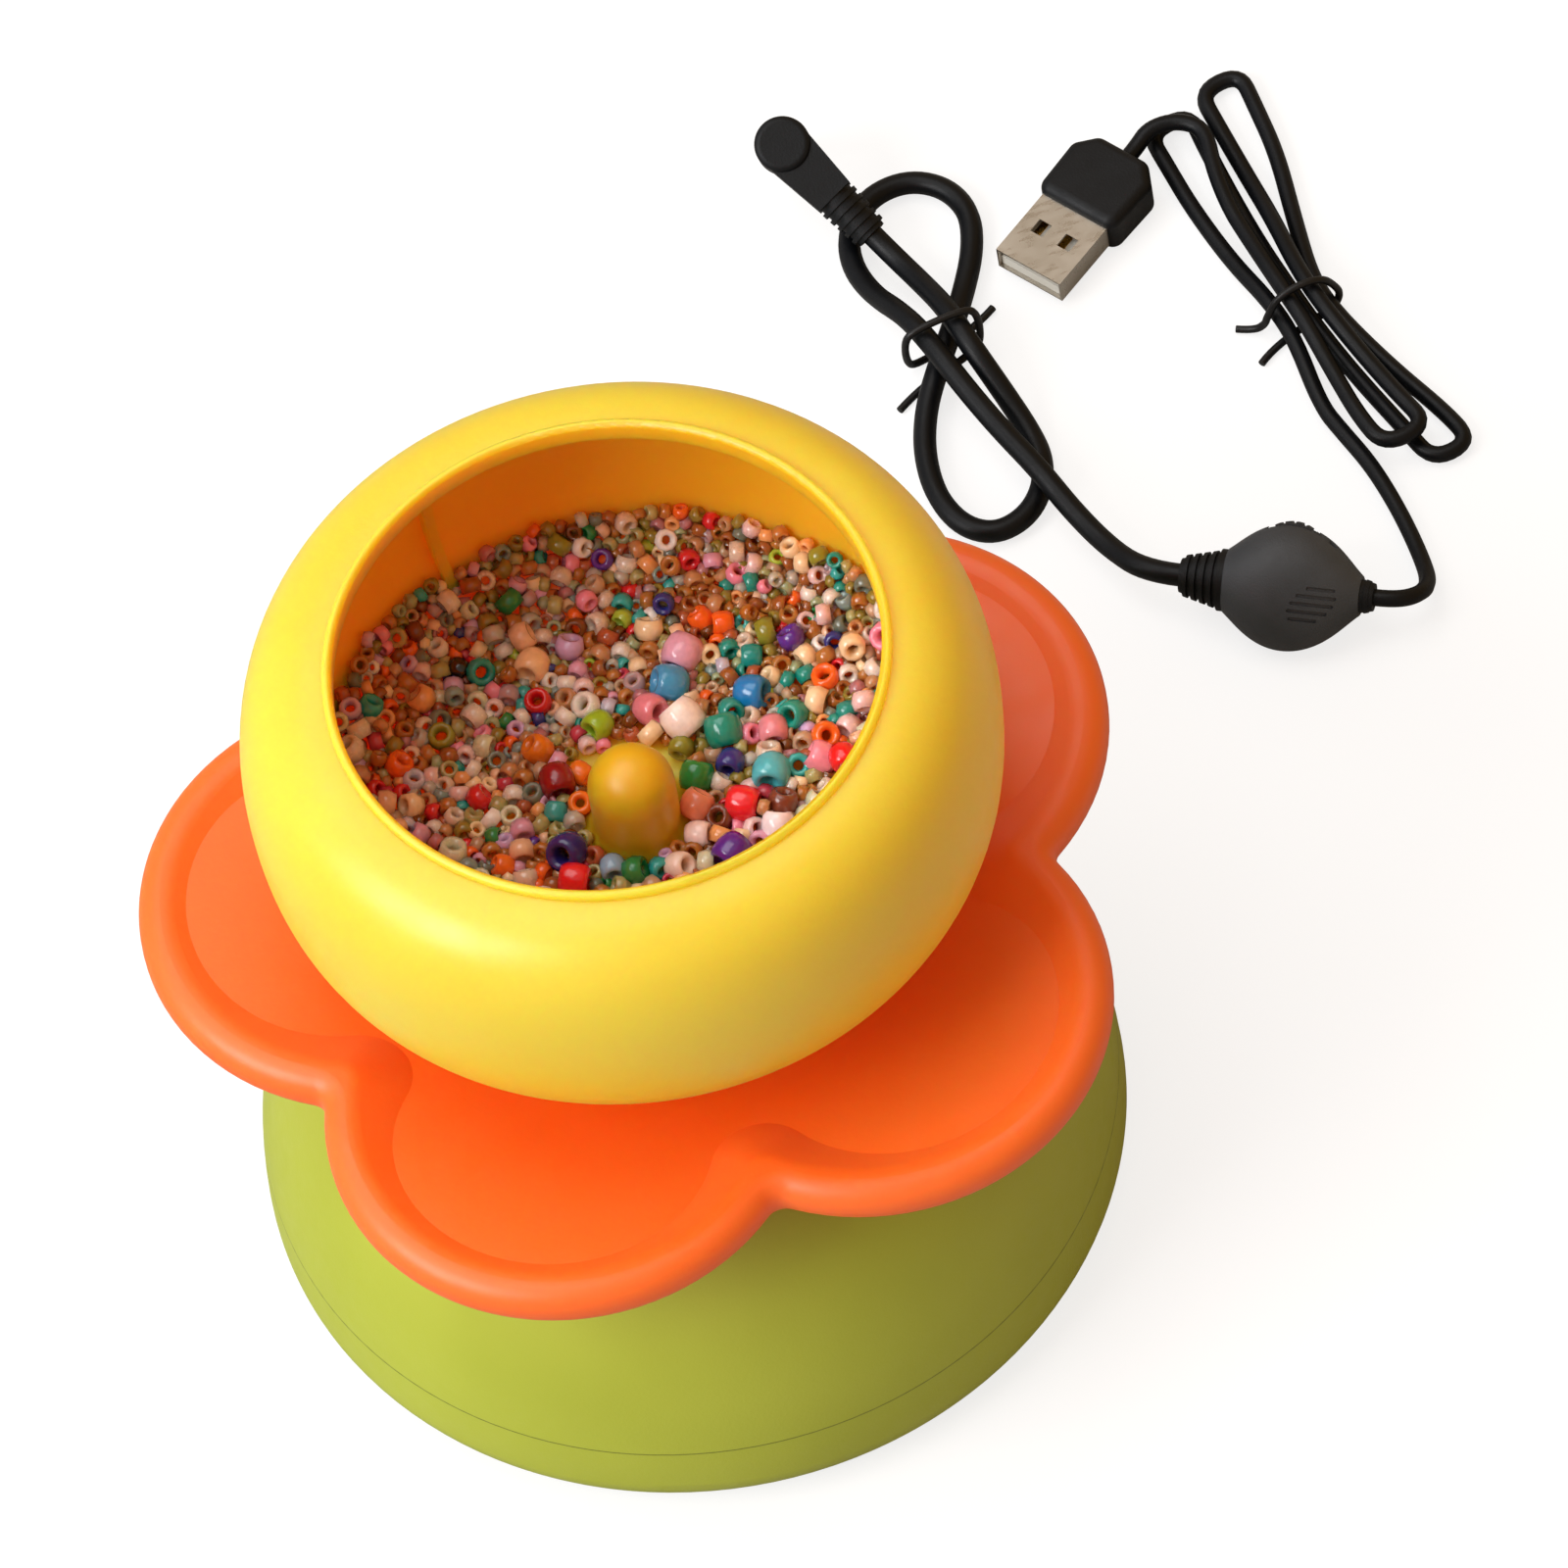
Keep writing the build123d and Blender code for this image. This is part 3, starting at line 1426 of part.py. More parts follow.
with BuildPart() as speed_wheel:
    with BuildSketch(controller_plane(wheel_x, wheel_y, -wheel_thickness / 2)):
        Circle(wheel_radius)
        with PolarLocations(wheel_radius, wheel_notches):
            Circle(wheel_notch_radius, mode=Mode.SUBTRACT)
        Circle(wheel_bore_radius, mode=Mode.SUBTRACT)
    extrude(amount=wheel_thickness)
save(speed_wheel.part, "speed_wheel")

with BuildPart() as controller_board:
    with BuildSketch(controller_plane(0, 0, board_bottom)):
        Rectangle(board_length, board_width)
    extrude(amount=board_thickness)
save(controller_board.part, "controller_board")

with BuildPart() as speed_potentiometer:
    with BuildSketch(controller_plane(wheel_x, wheel_y, board_bottom + board_thickness)):
        Circle(pot_radius)
    extrude(amount=pot_flange_thickness)
    with BuildSketch(controller_plane(wheel_x, wheel_y, board_bottom + board_thickness)):
        Circle(pot_stub_radius)
    extrude(amount=pot_flange_thickness + pot_stub_height)
save(speed_potentiometer.part, "speed_potentiometer")

inlet_plane = Plane(
    origin=controller_point(left_end, 0, 0), x_dir=controller_axis * -1, z_dir=controller_up
)
inlet_tip = controller_point(left_end - inlet_relief_length - collar_length, 0, 0)
outlet_plane = Plane(
    origin=controller_point(right_end, 0, 0), x_dir=controller_axis, z_dir=controller_up
)
outlet_tip = controller_point(right_end + outlet_relief_length, 0, 0)

with BuildPart() as controller_inlet_relief:
    with BuildSketch(Plane(origin=inlet_plane.origin, x_dir=controller_up, z_dir=inlet_plane.x_dir)):
        Circle(collar_radius)
    extrude(amount=collar_length)
    add(
        strain_relief(
            Plane(
                origin=inlet_plane.origin + inlet_plane.x_dir * collar_length,
                x_dir=inlet_plane.x_dir,
                z_dir=controller_up,
            ),
            inlet_relief_length,
            inlet_relief_start,
            inlet_relief_end,
            inlet_rib_count,
            inlet_rib_proud,
        )
    )
save(controller_inlet_relief.part, "controller_inlet_relief")
save(
    strain_relief(outlet_plane, outlet_relief_length, outlet_relief_start, outlet_relief_end, 1, outlet_rib_proud),
    "controller_outlet_relief",
)

# Power lead between the plug and the controller

plug_exit = relief_start + plug_axis * plug_relief_length
power_cord_points = [
    plug_exit,
    plug_exit + plug_axis * plug_lead_out,
    *power_cord_route,
    inlet_tip - controller_axis * controller_lead_in,
    inlet_tip,
]
save(cord_tube("dc_lead", power_cord_points, power_cord_radius), "dc_lead")


def cord_tie(name, place, heading, route):
    """A soft wire wrapped once round crossing cords, with its ends left long."""
    along = direction(heading, 0)
    across = direction(heading + 90, 0)
    points = [
        Vector(*place) + across * side + along * reach + Vector(0, 0, height)
        for side, reach, height in route
    ]
    return cord_tube(name, points, tie_wire_radius, tie_bend_radius)


save(cord_tie("dc_lead_tie", power_tie_place, power_tie_heading, power_tie_route), "dc_lead_tie")
save(cord_tie("usb_lead_tie", hank_place, hank_heading, usb_tie_route), "usb_lead_tie")

# USB lead: the hank is one tube of arcs, laid in two layers

hank_along = direction(hank_heading, 0)
hank_across = direction(hank_heading + 90, 0)
upper_level = usb_cord_radius + 2 * usb_cord_radius + strand_gap
hank_levels = [
    usb_cord_radius,
    upper_level,
    usb_cord_radius + hank_lift,
    upper_level + hank_lift,
    upper_level - hank_lift / 2,
]


def hank_point(along, across, height):
    """A place in the hank, which bows to one side toward both ends."""
    bow = hank_bow_near if along > 0 else hank_bow_far
    bowed = across + bow * (along / hank_reach) ** 2
    return Vector(*hank_place) + hank_along * along + hank_across * bowed + Vector(0, 0, height)


def hank_tangent(along, heading):
    """Direction of the cord at a place in the hank."""
    bow = hank_bow_near if along > 0 else hank_bow_far
    forward = math.cos(math.radians(heading))
    sideways = math.sin(math.radians(heading)) + forward * 2 * bow * along / hank_reach**2
    return (hank_along * forward + hank_across * sideways).normalized()


hank_points = [hank_point(x, y, hank_levels[level]) for x, y, level, heading in hank_places]
hank_tangents = [hank_tangent(x, heading) for x, y, level, heading in hank_places]
hank_start_end = hank_points[0] + hank_tangents[0] * 2 * usb_cord_radius
hank_end_start = hank_points[-1] - hank_tangents[-1] * 2 * usb_cord_radius
hank_stations = [
    (hank_start_end, hank_tangents[0]),
    *zip(hank_points[1:-1], hank_tangents[1:-1]),
    (hank_end_start, hank_tangents[-1]),
]

with BuildLine() as hank_path:
    Line(hank_points[0], hank_start_end)
    for (start, start_way), (end, end_way) in zip(hank_stations, hank_stations[1:]):
        joint = biarc_joint(start, start_way, end, end_way)
        first_middle = arc_middle(start, start_way, joint)
        last_middle = arc_middle(end, end_way * -1, joint)
        if first_middle is None:
            Line(start, joint)
        else:
            ThreePointArc(start, first_middle, joint)
        if last_middle is None:
            Line(joint, end)
        else:
            ThreePointArc(joint, last_middle, end)
    Line(hank_end_start, hank_points[-1])
hank_route = hank_path.wire()

with BuildPart() as usb_hank:
    with BuildSketch(Plane(origin=hank_points[0], z_dir=hank_tangents[0])):
        Circle(usb_cord_radius)
    sweep(path=hank_route)
save(usb_hank.part, "usb_hank")


def least_gap(route, radius, count):
    """Least distance between the surfaces of two places of one cord, and its tightest bend."""
    places = [route @ (step / count) for step in range(count + 1)]
    apart = math.ceil(count * 4 * math.pi * radius / route.length)
    nearest = math.inf
    for first in range(len(places)):
        for second in range(first + apart, len(places)):
            nearest = min(nearest, (places[second] - places[first]).length)
    tightest = math.inf
    for edge in route.edges():
        if edge.geom_type == GeomType.CIRCLE:
            tightest = min(tightest, edge.radius)
    return nearest - 2 * radius, tightest


hank_gap, hank_bend = least_gap(hank_route, usb_cord_radius, 900)
hank_share = usb_hank.part.volume / (math.pi * usb_cord_radius**2 * hank_route.length)
print(f"usb_hank: length {hank_route.length:.1f}, least gap {hank_gap:.2f}")
print(f"usb_hank: smallest radius {hank_bend:.1f}, volume share {hank_share:.3f}")

usb_run_points = [
    outlet_tip,
    outlet_tip + controller_axis * controller_lead_out,
    *usb_run_route,
    hank_points[0] - hank_tangents[0] * hank_lead_in,
    hank_points[0],
]
save(cord_tube("usb_lead", usb_run_points, usb_cord_radius), "usb_lead")

# USB plug, flat on the floor, with its lead entering at the back

usb_axis = direction(usb_plug_heading, 0)
usb_across = direction(usb_plug_heading + 90, 0)
usb_back = Vector(*usb_plug_back, usb_grip_height / 2)
usb_front = usb_back + usb_axis * usb_grip_length
tail_end = Vector(*usb_plug_back, tail_plug_height)
usb_tail_points = [
    hank_points[-1],
    hank_points[-1] + hank_tangents[-1] * tail_lead_out,
    *tail_route,
    Vector(*usb_plug_back, tail_axis_height) - usb_axis * tail_axis_reach,
    tail_end - usb_axis * tail_lead_in,
    tail_end,
]
save(cord_tube("usb_tail", usb_tail_points, usb_cord_radius), "usb_tail")


def usb_section(reach):
    """Plane across the plug, a distance in front of its grip."""
    return Plane(origin=usb_front + usb_axis * reach, x_dir=usb_across, z_dir=usb_axis)


with BuildPart() as usb_overmold:
    with BuildSketch(Plane(origin=(*usb_plug_back, 0), x_dir=usb_axis, z_dir=(0, 0, 1))) as grip:
        with BuildLine():
            Polyline(
                (0, usb_grip_back_width / 2),
                (usb_grip_shoulder, usb_grip_width / 2),
                (usb_grip_length, usb_grip_front_width / 2),
                (usb_grip_length, -usb_grip_front_width / 2),
                (usb_grip_shoulder, -usb_grip_width / 2),
                (0, -usb_grip_back_width / 2),
                close=True,
            )
        make_face()
        fillet(grip.vertices(), usb_grip_corner)
    extrude(amount=usb_grip_height)
    levels = usb_overmold.edges().group_by(Axis.Z)
    fillet(levels[0] + levels[-1], usb_grip_round)
    with BuildSketch(usb_section(0)):
        Rectangle(usb_shell_width + 2 * seat_gap, usb_shell_height + 2 * seat_gap)
    extrude(amount=-usb_shell_buried, mode=Mode.SUBTRACT)
save(usb_overmold.part, "usb_overmold")

shell_inner_width = usb_shell_width - 2 * usb_shell_wall
shell_inner_height = usb_shell_height - 2 * usb_shell_wall
tongue_top = usb_tongue_height - shell_inner_height / 2 + seat_gap
contact_places = [
    ((slot - (usb_contact_count - 1) / 2) * usb_contact_pitch, tongue_top + usb_contact_thickness / 2)
    for slot in range(usb_contact_count)
]

with BuildPart() as usb_shell:
    with BuildSketch(usb_section(-usb_shell_buried)):
        Rectangle(usb_shell_width, usb_shell_height)
        Rectangle(shell_inner_width, shell_inner_height, mode=Mode.SUBTRACT)
    extrude(amount=usb_shell_buried + usb_shell_length)
    with BuildSketch(
        Plane(origin=usb_front - Vector(0, 0, usb_shell_height), x_dir=usb_axis, z_dir=(0, 0, 1))
    ):
        with Locations((usb_latch_place, usb_latch_spacing / 2), (usb_latch_place, -usb_latch_spacing / 2)):
            Rectangle(usb_latch_length, usb_latch_width)
    extrude(amount=2 * usb_shell_height, mode=Mode.SUBTRACT)
save(usb_shell.part, "usb_shell")

with BuildPart() as usb_tongue:
    with BuildSketch(usb_section(-usb_shell_buried)):
        with Locations((0, tongue_top - usb_tongue_height / 2)):
            Rectangle(shell_inner_width - 2 * seat_gap, usb_tongue_height)
    extrude(amount=usb_shell_buried + usb_shell_length - usb_tongue_setback)
save(usb_tongue.part, "usb_tongue")

with BuildPart() as usb_contacts:
    with BuildSketch(usb_section(usb_shell_length - 2 * usb_tongue_setback)):
        with Locations(*contact_places):
            Rectangle(usb_contact_width, usb_contact_thickness)
    extrude(amount=-usb_contact_length)
save(usb_contacts.part, "usb_contacts")

print(f"plug head {plug_head}, barrel way {barrel_way}")
print(f"controller centre {controller_centre}, up {controller_up}, wheel {controller_point(wheel_x, wheel_y, 0)}")
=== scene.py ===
import math
import random

import bmesh
import bpy
import numpy as np
from mathutils import Matrix, Vector
from mathutils.bvhtree import BVHTree
from mathutils.kdtree import KDTree


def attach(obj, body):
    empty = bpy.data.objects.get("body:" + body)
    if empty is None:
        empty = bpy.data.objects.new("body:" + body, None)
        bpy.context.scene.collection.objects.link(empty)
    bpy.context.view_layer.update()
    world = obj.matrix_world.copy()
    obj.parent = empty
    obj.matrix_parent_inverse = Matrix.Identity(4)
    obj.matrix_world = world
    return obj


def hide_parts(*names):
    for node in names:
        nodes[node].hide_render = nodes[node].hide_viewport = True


# Bead spinner: looks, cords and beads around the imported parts.
# The origin is on the spin axis at the underside of the pad. Z is up.
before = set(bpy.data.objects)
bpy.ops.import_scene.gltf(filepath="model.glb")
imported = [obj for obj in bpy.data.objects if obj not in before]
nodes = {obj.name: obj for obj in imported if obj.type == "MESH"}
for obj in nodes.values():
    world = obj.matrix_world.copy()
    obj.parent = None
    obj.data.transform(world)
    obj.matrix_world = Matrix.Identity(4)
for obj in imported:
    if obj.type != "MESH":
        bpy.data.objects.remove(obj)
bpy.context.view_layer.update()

mm = 0.001
frame_pixels = 1600.0
scene = bpy.context.scene
scene.view_settings.view_transform = "Standard"

# Camera: a long lens from the front, a little to the left, and high
camera_place = (-275.8, -1761.1, 2784.0)
camera_right = (0.94414, -0.31381, -0.10058)
camera_up = (0.31642, 0.77805, 0.54269)
camera_back = (-0.09205, -0.54421, 0.83389)
camera_lens = 511.8
camera_sensor = 36.0
camera_far = 20.0

camera_data = bpy.data.cameras.new("camera")
camera_data.lens = camera_lens
camera_data.sensor_width = camera_sensor
camera_data.clip_end = camera_far
camera = bpy.data.objects.new("camera", camera_data)
scene.collection.objects.link(camera)
camera.matrix_world = Matrix.Translation(Vector(camera_place) * mm) @ Matrix(
    (camera_right, camera_up, camera_back)
).transposed().to_4x4()
scene.camera = camera


# Helpers
plastic_ior, glass_ior = 1.49, 1.51
noise_low, noise_high, noise_roughness = 0.3, 0.7, 0.55
# Patches of another gloss, in grains across, and how far the gloss drifts in them
plastic_patch, plastic_glossier, plastic_duller = 6, 0.04, 0.05
metal_patch, metal_glossier, metal_duller = 3, 0.06, 0.08
metal_stain = 12
plastic_glow_colour = (1.0, 0.5, 0.12)
# A colour mix has three inputs of each name, so its sockets go by number
mix_share, mix_first, mix_second, mix_result = 0, 6, 7, 2


def linear(colour):
    """The linear value of an sRGB hex colour."""
    parts = [int(colour[i : i + 2], 16) / 255 for i in (1, 3, 5)]
    return [
        c / 12.92 if c <= 0.04045 else ((c + 0.055) / 1.055) ** 2.4 for c in parts
    ] + [1.0]


def add_node(tree, kind, sockets=None, **settings):
    """Adds a node with its settings. A socket takes a value, or an output to link."""
    node = tree.nodes.new(kind)
    for name, value in settings.items():
        setattr(node, name, value)
    for key, value in (sockets or {}).items():
        if isinstance(value, bpy.types.NodeSocket):
            tree.links.new(value, node.inputs[key])
        else:
            node.inputs[key].default_value = value
    return node


def new_finish(name):
    """An empty material, its tree and the place of each point on the piece."""
    finish = bpy.data.materials.new(name)
    finish.use_nodes = True
    tree = finish.node_tree
    tree.nodes.clear()
    return finish, tree, add_node(tree, "ShaderNodeTexCoord").outputs["Object"]


def show_finish(tree, shader):
    add_node(tree, "ShaderNodeOutputMaterial", {"Surface": shader.outputs[0]})


def per_metre(size):
    """The scale of a pattern whose marks are size millimetres across."""
    return 1 / (size * mm)


def spread_of(tree, place, size, low, high, detail=2.0, stretch=(1.0, 1.0, 1.0)):
    """A soft random pattern with marks of one size, as a number from low to high."""
    turned = add_node(tree, "ShaderNodeMapping", {"Vector": place, "Scale": stretch})
    cloud = add_node(
        tree,
        "ShaderNodeTexNoise",
        {
            "Vector": turned.outputs["Vector"],
            "Scale": per_metre(size),
            "Detail": detail,
            "Roughness": noise_roughness,
        },
    )
    return add_node(
        tree,
        "ShaderNodeMapRange",
        {
            "Value": cloud.outputs["Fac"],
            "From Min": noise_low,
            "From Max": noise_high,
            "To Min": low,
            "To Max": high,
        },
    ).outputs["Result"]


def blended(tree, share, first, second):
    """Two colours mixed by a share. Each is a hex colour or an output."""
    mix = add_node(tree, "ShaderNodeMix", data_type="RGBA")
    for socket, value in ((mix_share, share), (mix_first, first), (mix_second, second)):
        if isinstance(value, bpy.types.NodeSocket):
            tree.links.new(value, mix.inputs[socket])
        else:
            mix.inputs[socket].default_value = linear(value)
    return mix.outputs[mix_result]


def ramp(tree, value, low, high):
    """A share that rises from 0 at one value to 1 at another."""
    return add_node(
        tree,
        "ShaderNodeMapRange",
        {"Value": value, "From Min": low, "From Max": high},
        interpolation_type="SMOOTHSTEP",
    ).outputs["Result"]


def height_share(tree, low, high):
    """0 below one height in millimetres and 1 above another."""
    place = add_node(tree, "ShaderNodeTexCoord").outputs["Object"]
    height = add_node(tree, "ShaderNodeSeparateXYZ", {"Vector": place}).outputs["Z"]
    return ramp(tree, height, low * mm, high * mm)


def band_share(tree, middle, half):
    """1 at one height in millimetres, and 0 from half a band's width away."""
    return add_node(
        tree,
        "ShaderNodeMath",
        {
            0: height_share(tree, middle - half, middle),
            1: height_share(tree, middle + half, middle),
        },
        operation="MULTIPLY",
    ).outputs["Value"]


def flattened(tree, place):
    """A place with its height taken away."""
    return add_node(
        tree,
        "ShaderNodeVectorMath",
        {0: place, 1: (1.0, 1.0, 0.0)},
        operation="MULTIPLY",
    ).outputs["Vector"]


def axis_share(tree, near, far):
    """1 nearer to the spin axis than one distance in millimetres, 0 beyond another."""
    place = add_node(tree, "ShaderNodeTexCoord").outputs["Object"]
    flat = flattened(tree, place)
    distance = add_node(
        tree, "ShaderNodeVectorMath", {0: flat}, operation="LENGTH"
    )
    return ramp(tree, distance.outputs["Value"], far * mm, near * mm)


facing_away, facing_in = 0.1, -0.5


def inside_share(tree):
    """1 where a face is turned to the spin axis, 0 where it is turned away."""
    coordinates = add_node(tree, "ShaderNodeTexCoord")
    flat = flattened(tree, coordinates.outputs["Object"])
    outward = add_node(tree, "ShaderNodeVectorMath", {0: flat}, operation="NORMALIZE")
    facing = add_node(
        tree,
        "ShaderNodeVectorMath",
        {0: outward.outputs["Vector"], 1: coordinates.outputs["Normal"]},
        operation="DOT_PRODUCT",
    )
    return ramp(tree, facing.outputs["Value"], facing_away, facing_in)


def moulded(
    name,
    colour,
    deeper,
    rough,
    grain,
    depth,
    cloud=24.0,
    glow=0.0,
    reach=3.0,
    shine=0.5,
    tints=(),
):
    """Injection moulded plastic: colour that drifts a little, and the mould's fine grain."""
    finish, tree, place = new_finish(name)
    colour = blended(tree, spread_of(tree, place, cloud, 0.0, 1.0), colour, deeper)
    for share, tint in tints:
        colour = blended(tree, share(tree), colour, tint)
    fine = spread_of(tree, place, grain, 0.0, 1.0, detail=3.0)
    bump = add_node(tree, "ShaderNodeBump", {"Height": fine, "Distance": depth * mm})
    shader = add_node(
        tree,
        "ShaderNodeBsdfPrincipled",
        {
            "Base Color": colour,
            "Roughness": spread_of(
                tree,
                place,
                grain * plastic_patch,
                rough - plastic_glossier,
                rough + plastic_duller,
            ),
            "IOR": plastic_ior,
            "Specular IOR Level": shine,
            "Normal": bump.outputs["Normal"],
            "Subsurface Weight": glow,
            "Subsurface Radius": plastic_glow_colour,
            "Subsurface Scale": reach * mm,
        },
    )
    show_finish(tree, shader)
    return finish


def metal(name, colour, deeper, rough, mark, depth, stretch=(1.0, 1.0, 1.0)):
    """Bare or plated metal with marks that run one way, and faint stains."""
    finish, tree, place = new_finish(name)
    stains = spread_of(tree, place, mark * metal_stain, 0.0, 1.0)
    colour = blended(tree, stains, colour, deeper)
    marks = spread_of(tree, place, mark, 0.0, 1.0, detail=3.0, stretch=stretch)
    bump = add_node(tree, "ShaderNodeBump", {"Height": marks, "Distance": depth * mm})
    shader = add_node(
        tree,
        "ShaderNodeBsdfPrincipled",
        {
            "Base Color": colour,
            "Metallic": 1.0,
            "Roughness": spread_of(
                tree,
                place,
                mark * metal_patch,
                rough - metal_glossier,
                rough + metal_duller,
                stretch=stretch,
            ),
            "Normal": bump.outputs["Normal"],
        },
    )
    show_finish(tree, shader)
    return finish


# Finishes
# ABS, satin: the lime base. Its fine spark grain softens the light into one broad glow.
# A faint line shows where its two shells meet.
base_seam_height, base_seam_half = 16.0, 0.22
base_green = moulded(
    "lime_abs_satin",
    "#B1BA3B",
    "#A7B031",
    0.46,
    0.55,
    0.012,
    cloud=40.0,
    glow=0.05,
    tints=[(lambda tree: band_share(tree, base_seam_height, base_seam_half), "#6F7620")],
)
# Polypropylene, soft gloss: the petals let a little light in. Their rims are painted a little
# paler from a height up, a painted glow.
painted_rim_glow_low, painted_rim_glow_top = 70.0, 73.4
tray_orange = moulded(
    "orange_polypropylene",
    "#FF6A12",
    "#FC600B",
    0.44,
    0.8,
    0.010,
    cloud=35.0,
    glow=0.6,
    reach=6.0,
    shine=0.6,
    # Painted glow: a paler orange on the rims, chosen by height
    tints=[(lambda tree: height_share(tree, painted_rim_glow_low, painted_rim_glow_top), "#FF6E1E")],
)
# Polypropylene, soft gloss: butter yellow, a little translucent. Inside, a deep orange is
# painted in for the light that comes through the wall and off the beads, on the post too: a
# painted glow.
painted_post_glow_near, painted_post_glow_far = 8.0, 11.0
bowl_yellow = moulded(
    "butter_polypropylene",
    "#FCD03E",
    "#F9C932",
    0.38,
    0.9,
    0.008,
    cloud=45.0,
    glow=1.0,
    reach=10.0,
    shine=0.6,
    tints=[
        # Painted glow: deep orange on faces turned to the axis, and on the post
        (inside_share, "#FFB218"),
        (lambda tree: axis_share(tree, painted_post_glow_near, painted_post_glow_far), "#FFB41E"),
    ],
)
# Thermoplastic rubber: dull, with a pebbled skin.
pad_rubber = moulded(
    "pad_rubber_pebbled", "#1B1B1C", "#262627", 0.78, 0.7, 0.06, shine=0.3
)
# Zinc plated steel: bright, with faint yellow and blue patches.
screw_steel = metal("zinc_plated_steel", "#B9BCC0", "#A6A79F", 0.30, 0.30, 0.006)
# Sintered bronze: open grain, warm and dull.
bush_brass = metal("sintered_bronze", "#B08D57", "#8E6F42", 0.42, 0.25, 0.012)
# Ground steel: fine rings round the shaft.
shaft_steel = metal(
    "ground_steel", "#B4B5B8", "#A2A3A6", 0.24, 0.20, 0.004, stretch=(0.2, 0.2, 3.0)
)
# Natural acetal: milky white and slippery.
gear_plastic = moulded(
    "natural_acetal", "#E9E8E0", "#DEDDD2", 0.36, 0.5, 0.008, glow=0.10
)
# Drawn and plated steel: the motor's can, with faint draw marks along it.
can_steel = metal(
    "drawn_plated_steel", "#A9ABAE", "#96989A", 0.30, 0.35, 0.006, stretch=(3.0, 3.0, 0.3)
)
# Glass filled nylon: near black with a satin skin.
dark_plastic = moulded("black_nylon_satin", "#17181A", "#202123", 0.48, 0.45, 0.015)
# ABS, natural: the inner frame, off white.
frame_plastic = moulded("natural_abs", "#DCDCD2", "#D0D0C6", 0.46, 0.6, 0.012)
# Nickel plate: warm grey and shiny, with rubbing marks along the plug.
contact_metal = metal(
    "nickel_plate", "#BDB6AB", "#B5AEA2", 0.30, 0.60, 0.0002, stretch=(0.6, 2.2, 1.0)
)
# Gold flash over nickel.
contact_gold = metal("gold_flash", "#D9A94E", "#C7963F", 0.24, 0.20, 0.003)
# Soft PVC insulation, red.
wire_red = moulded("red_pvc", "#B3160F", "#9E120C", 0.40, 0.4, 0.010, cloud=8.0)
# Soft PVC jacket: black with a low, greasy shine and faint scuffs.
cable_black = moulded(
    "cable_pvc_black", "#040609", "#090B0F", 0.42, 0.35, 0.010, cloud=9.0, shine=0.22
)
# PVC over steel wire: the ties.
tie_black = moulded(
    "tie_pvc_black", "#08080A", "#101012", 0.44, 0.3, 0.010, cloud=5.0, shine=0.35
)
# PVC overmould: the plugs' and reliefs' fine matte grain.
mould_black = moulded(
    "overmould_pvc_black", "#05070A", "#0B0E12", 0.52, 0.35, 0.018, cloud=7.0, shine=0.25
)
# ABS with a spark grain: charcoal grey, matte, catching light on its crown.
controller_grey = moulded(
    "charcoal_abs_grained", "#33373C", "#3D4147", 0.50, 0.32, 0.022, cloud=8.0, shine=0.45
)
# Solder mask over glass board.
board_green = moulded("solder_mask_green", "#12522A", "#0E4322", 0.30, 0.5, 0.008)
# Filled polyester: the plug's tongue.
tongue_white = moulded("white_polyester", "#E6E4DC", "#DAD8CE", 0.45, 0.4, 0.010)

node_finishes = {
    "base_plate": base_green,
    "base_shell": base_green,
    "petal_tray": tray_orange,
    "bowl_lower": bowl_yellow,
    "bowl_upper": bowl_yellow,
    "non_slip_pad": pad_rubber,
    "case_screws": screw_steel,
    "motor_screws": screw_steel,
    "tray_screws": screw_steel,
    "hub_screw": screw_steel,
    "upper_bush": bush_brass,
    "lower_bush": bush_brass,
    "spindle": shaft_steel,
    "motor_shaft": shaft_steel,
    "gear_pin": shaft_steel,
    "circlip": can_steel,
    "thrust_washer": gear_plastic,
    "drive_gear": gear_plastic,
    "drive_pinion": gear_plastic,
    "motor_can": can_steel,
    "motor_end_cap": dark_plastic,
    "motor_terminals": contact_metal,
    "motor_frame": frame_plastic,
    "drive_hub": dark_plastic,
    "dc_jack": dark_plastic,
    "dc_jack_pin": contact_metal,
    "dc_plug_body": mould_black,
    "dc_strain_relief": mould_black,
    "dc_plug_barrel": contact_metal,
    "controller_board": board_green,
    "controller_inlet_relief": mould_black,
    "controller_outlet_relief": mould_black,
    "controller_lower": controller_grey,
    "controller_upper": controller_grey,
    "speed_potentiometer": dark_plastic,
    "speed_wheel": dark_plastic,
    "usb_overmold": mould_black,
    "usb_shell": contact_metal,
    "usb_tongue": tongue_white,
    "usb_contacts": contact_gold,
}
for name, finish in node_finishes.items():
    for place in nodes[name].material_slots:
        place.material = finish


# Cords
cord_steps, cord_roundness = 6, 3


def cord_line(name, points, radius, finish):
    """A round cord on one smooth line through given points, in millimetres."""
    data = bpy.data.curves.new(name, "CURVE")
    data.dimensions = "3D"
    spline = data.splines.new("NURBS")
    spline.points.add(len(points) - 1)
    for target, place in zip(spline.points, points):
        target.co = [x * mm for x in place] + [1.0]
    spline.order_u = 3
    spline.use_endpoint_u = True
    spline.resolution_u = cord_steps
    data.bevel_depth = radius * mm
    data.bevel_resolution = cord_roundness
    data.use_fill_caps = True
    data.materials.append(finish)
    line = bpy.data.objects.new(name, data)
    scene.collection.objects.link(line)
    return line


def beside(place, heading, across, along, height):
    """A point given from a place, across and along a heading in degrees."""
    turn = math.radians(heading)
    ahead = (math.cos(turn), math.sin(turn))
    side = (-ahead[1], ahead[0])
    return (
        place[0] + along * ahead[0] + across * side[0],
        place[1] + along * ahead[1] + across * side[1],
        height,
    )


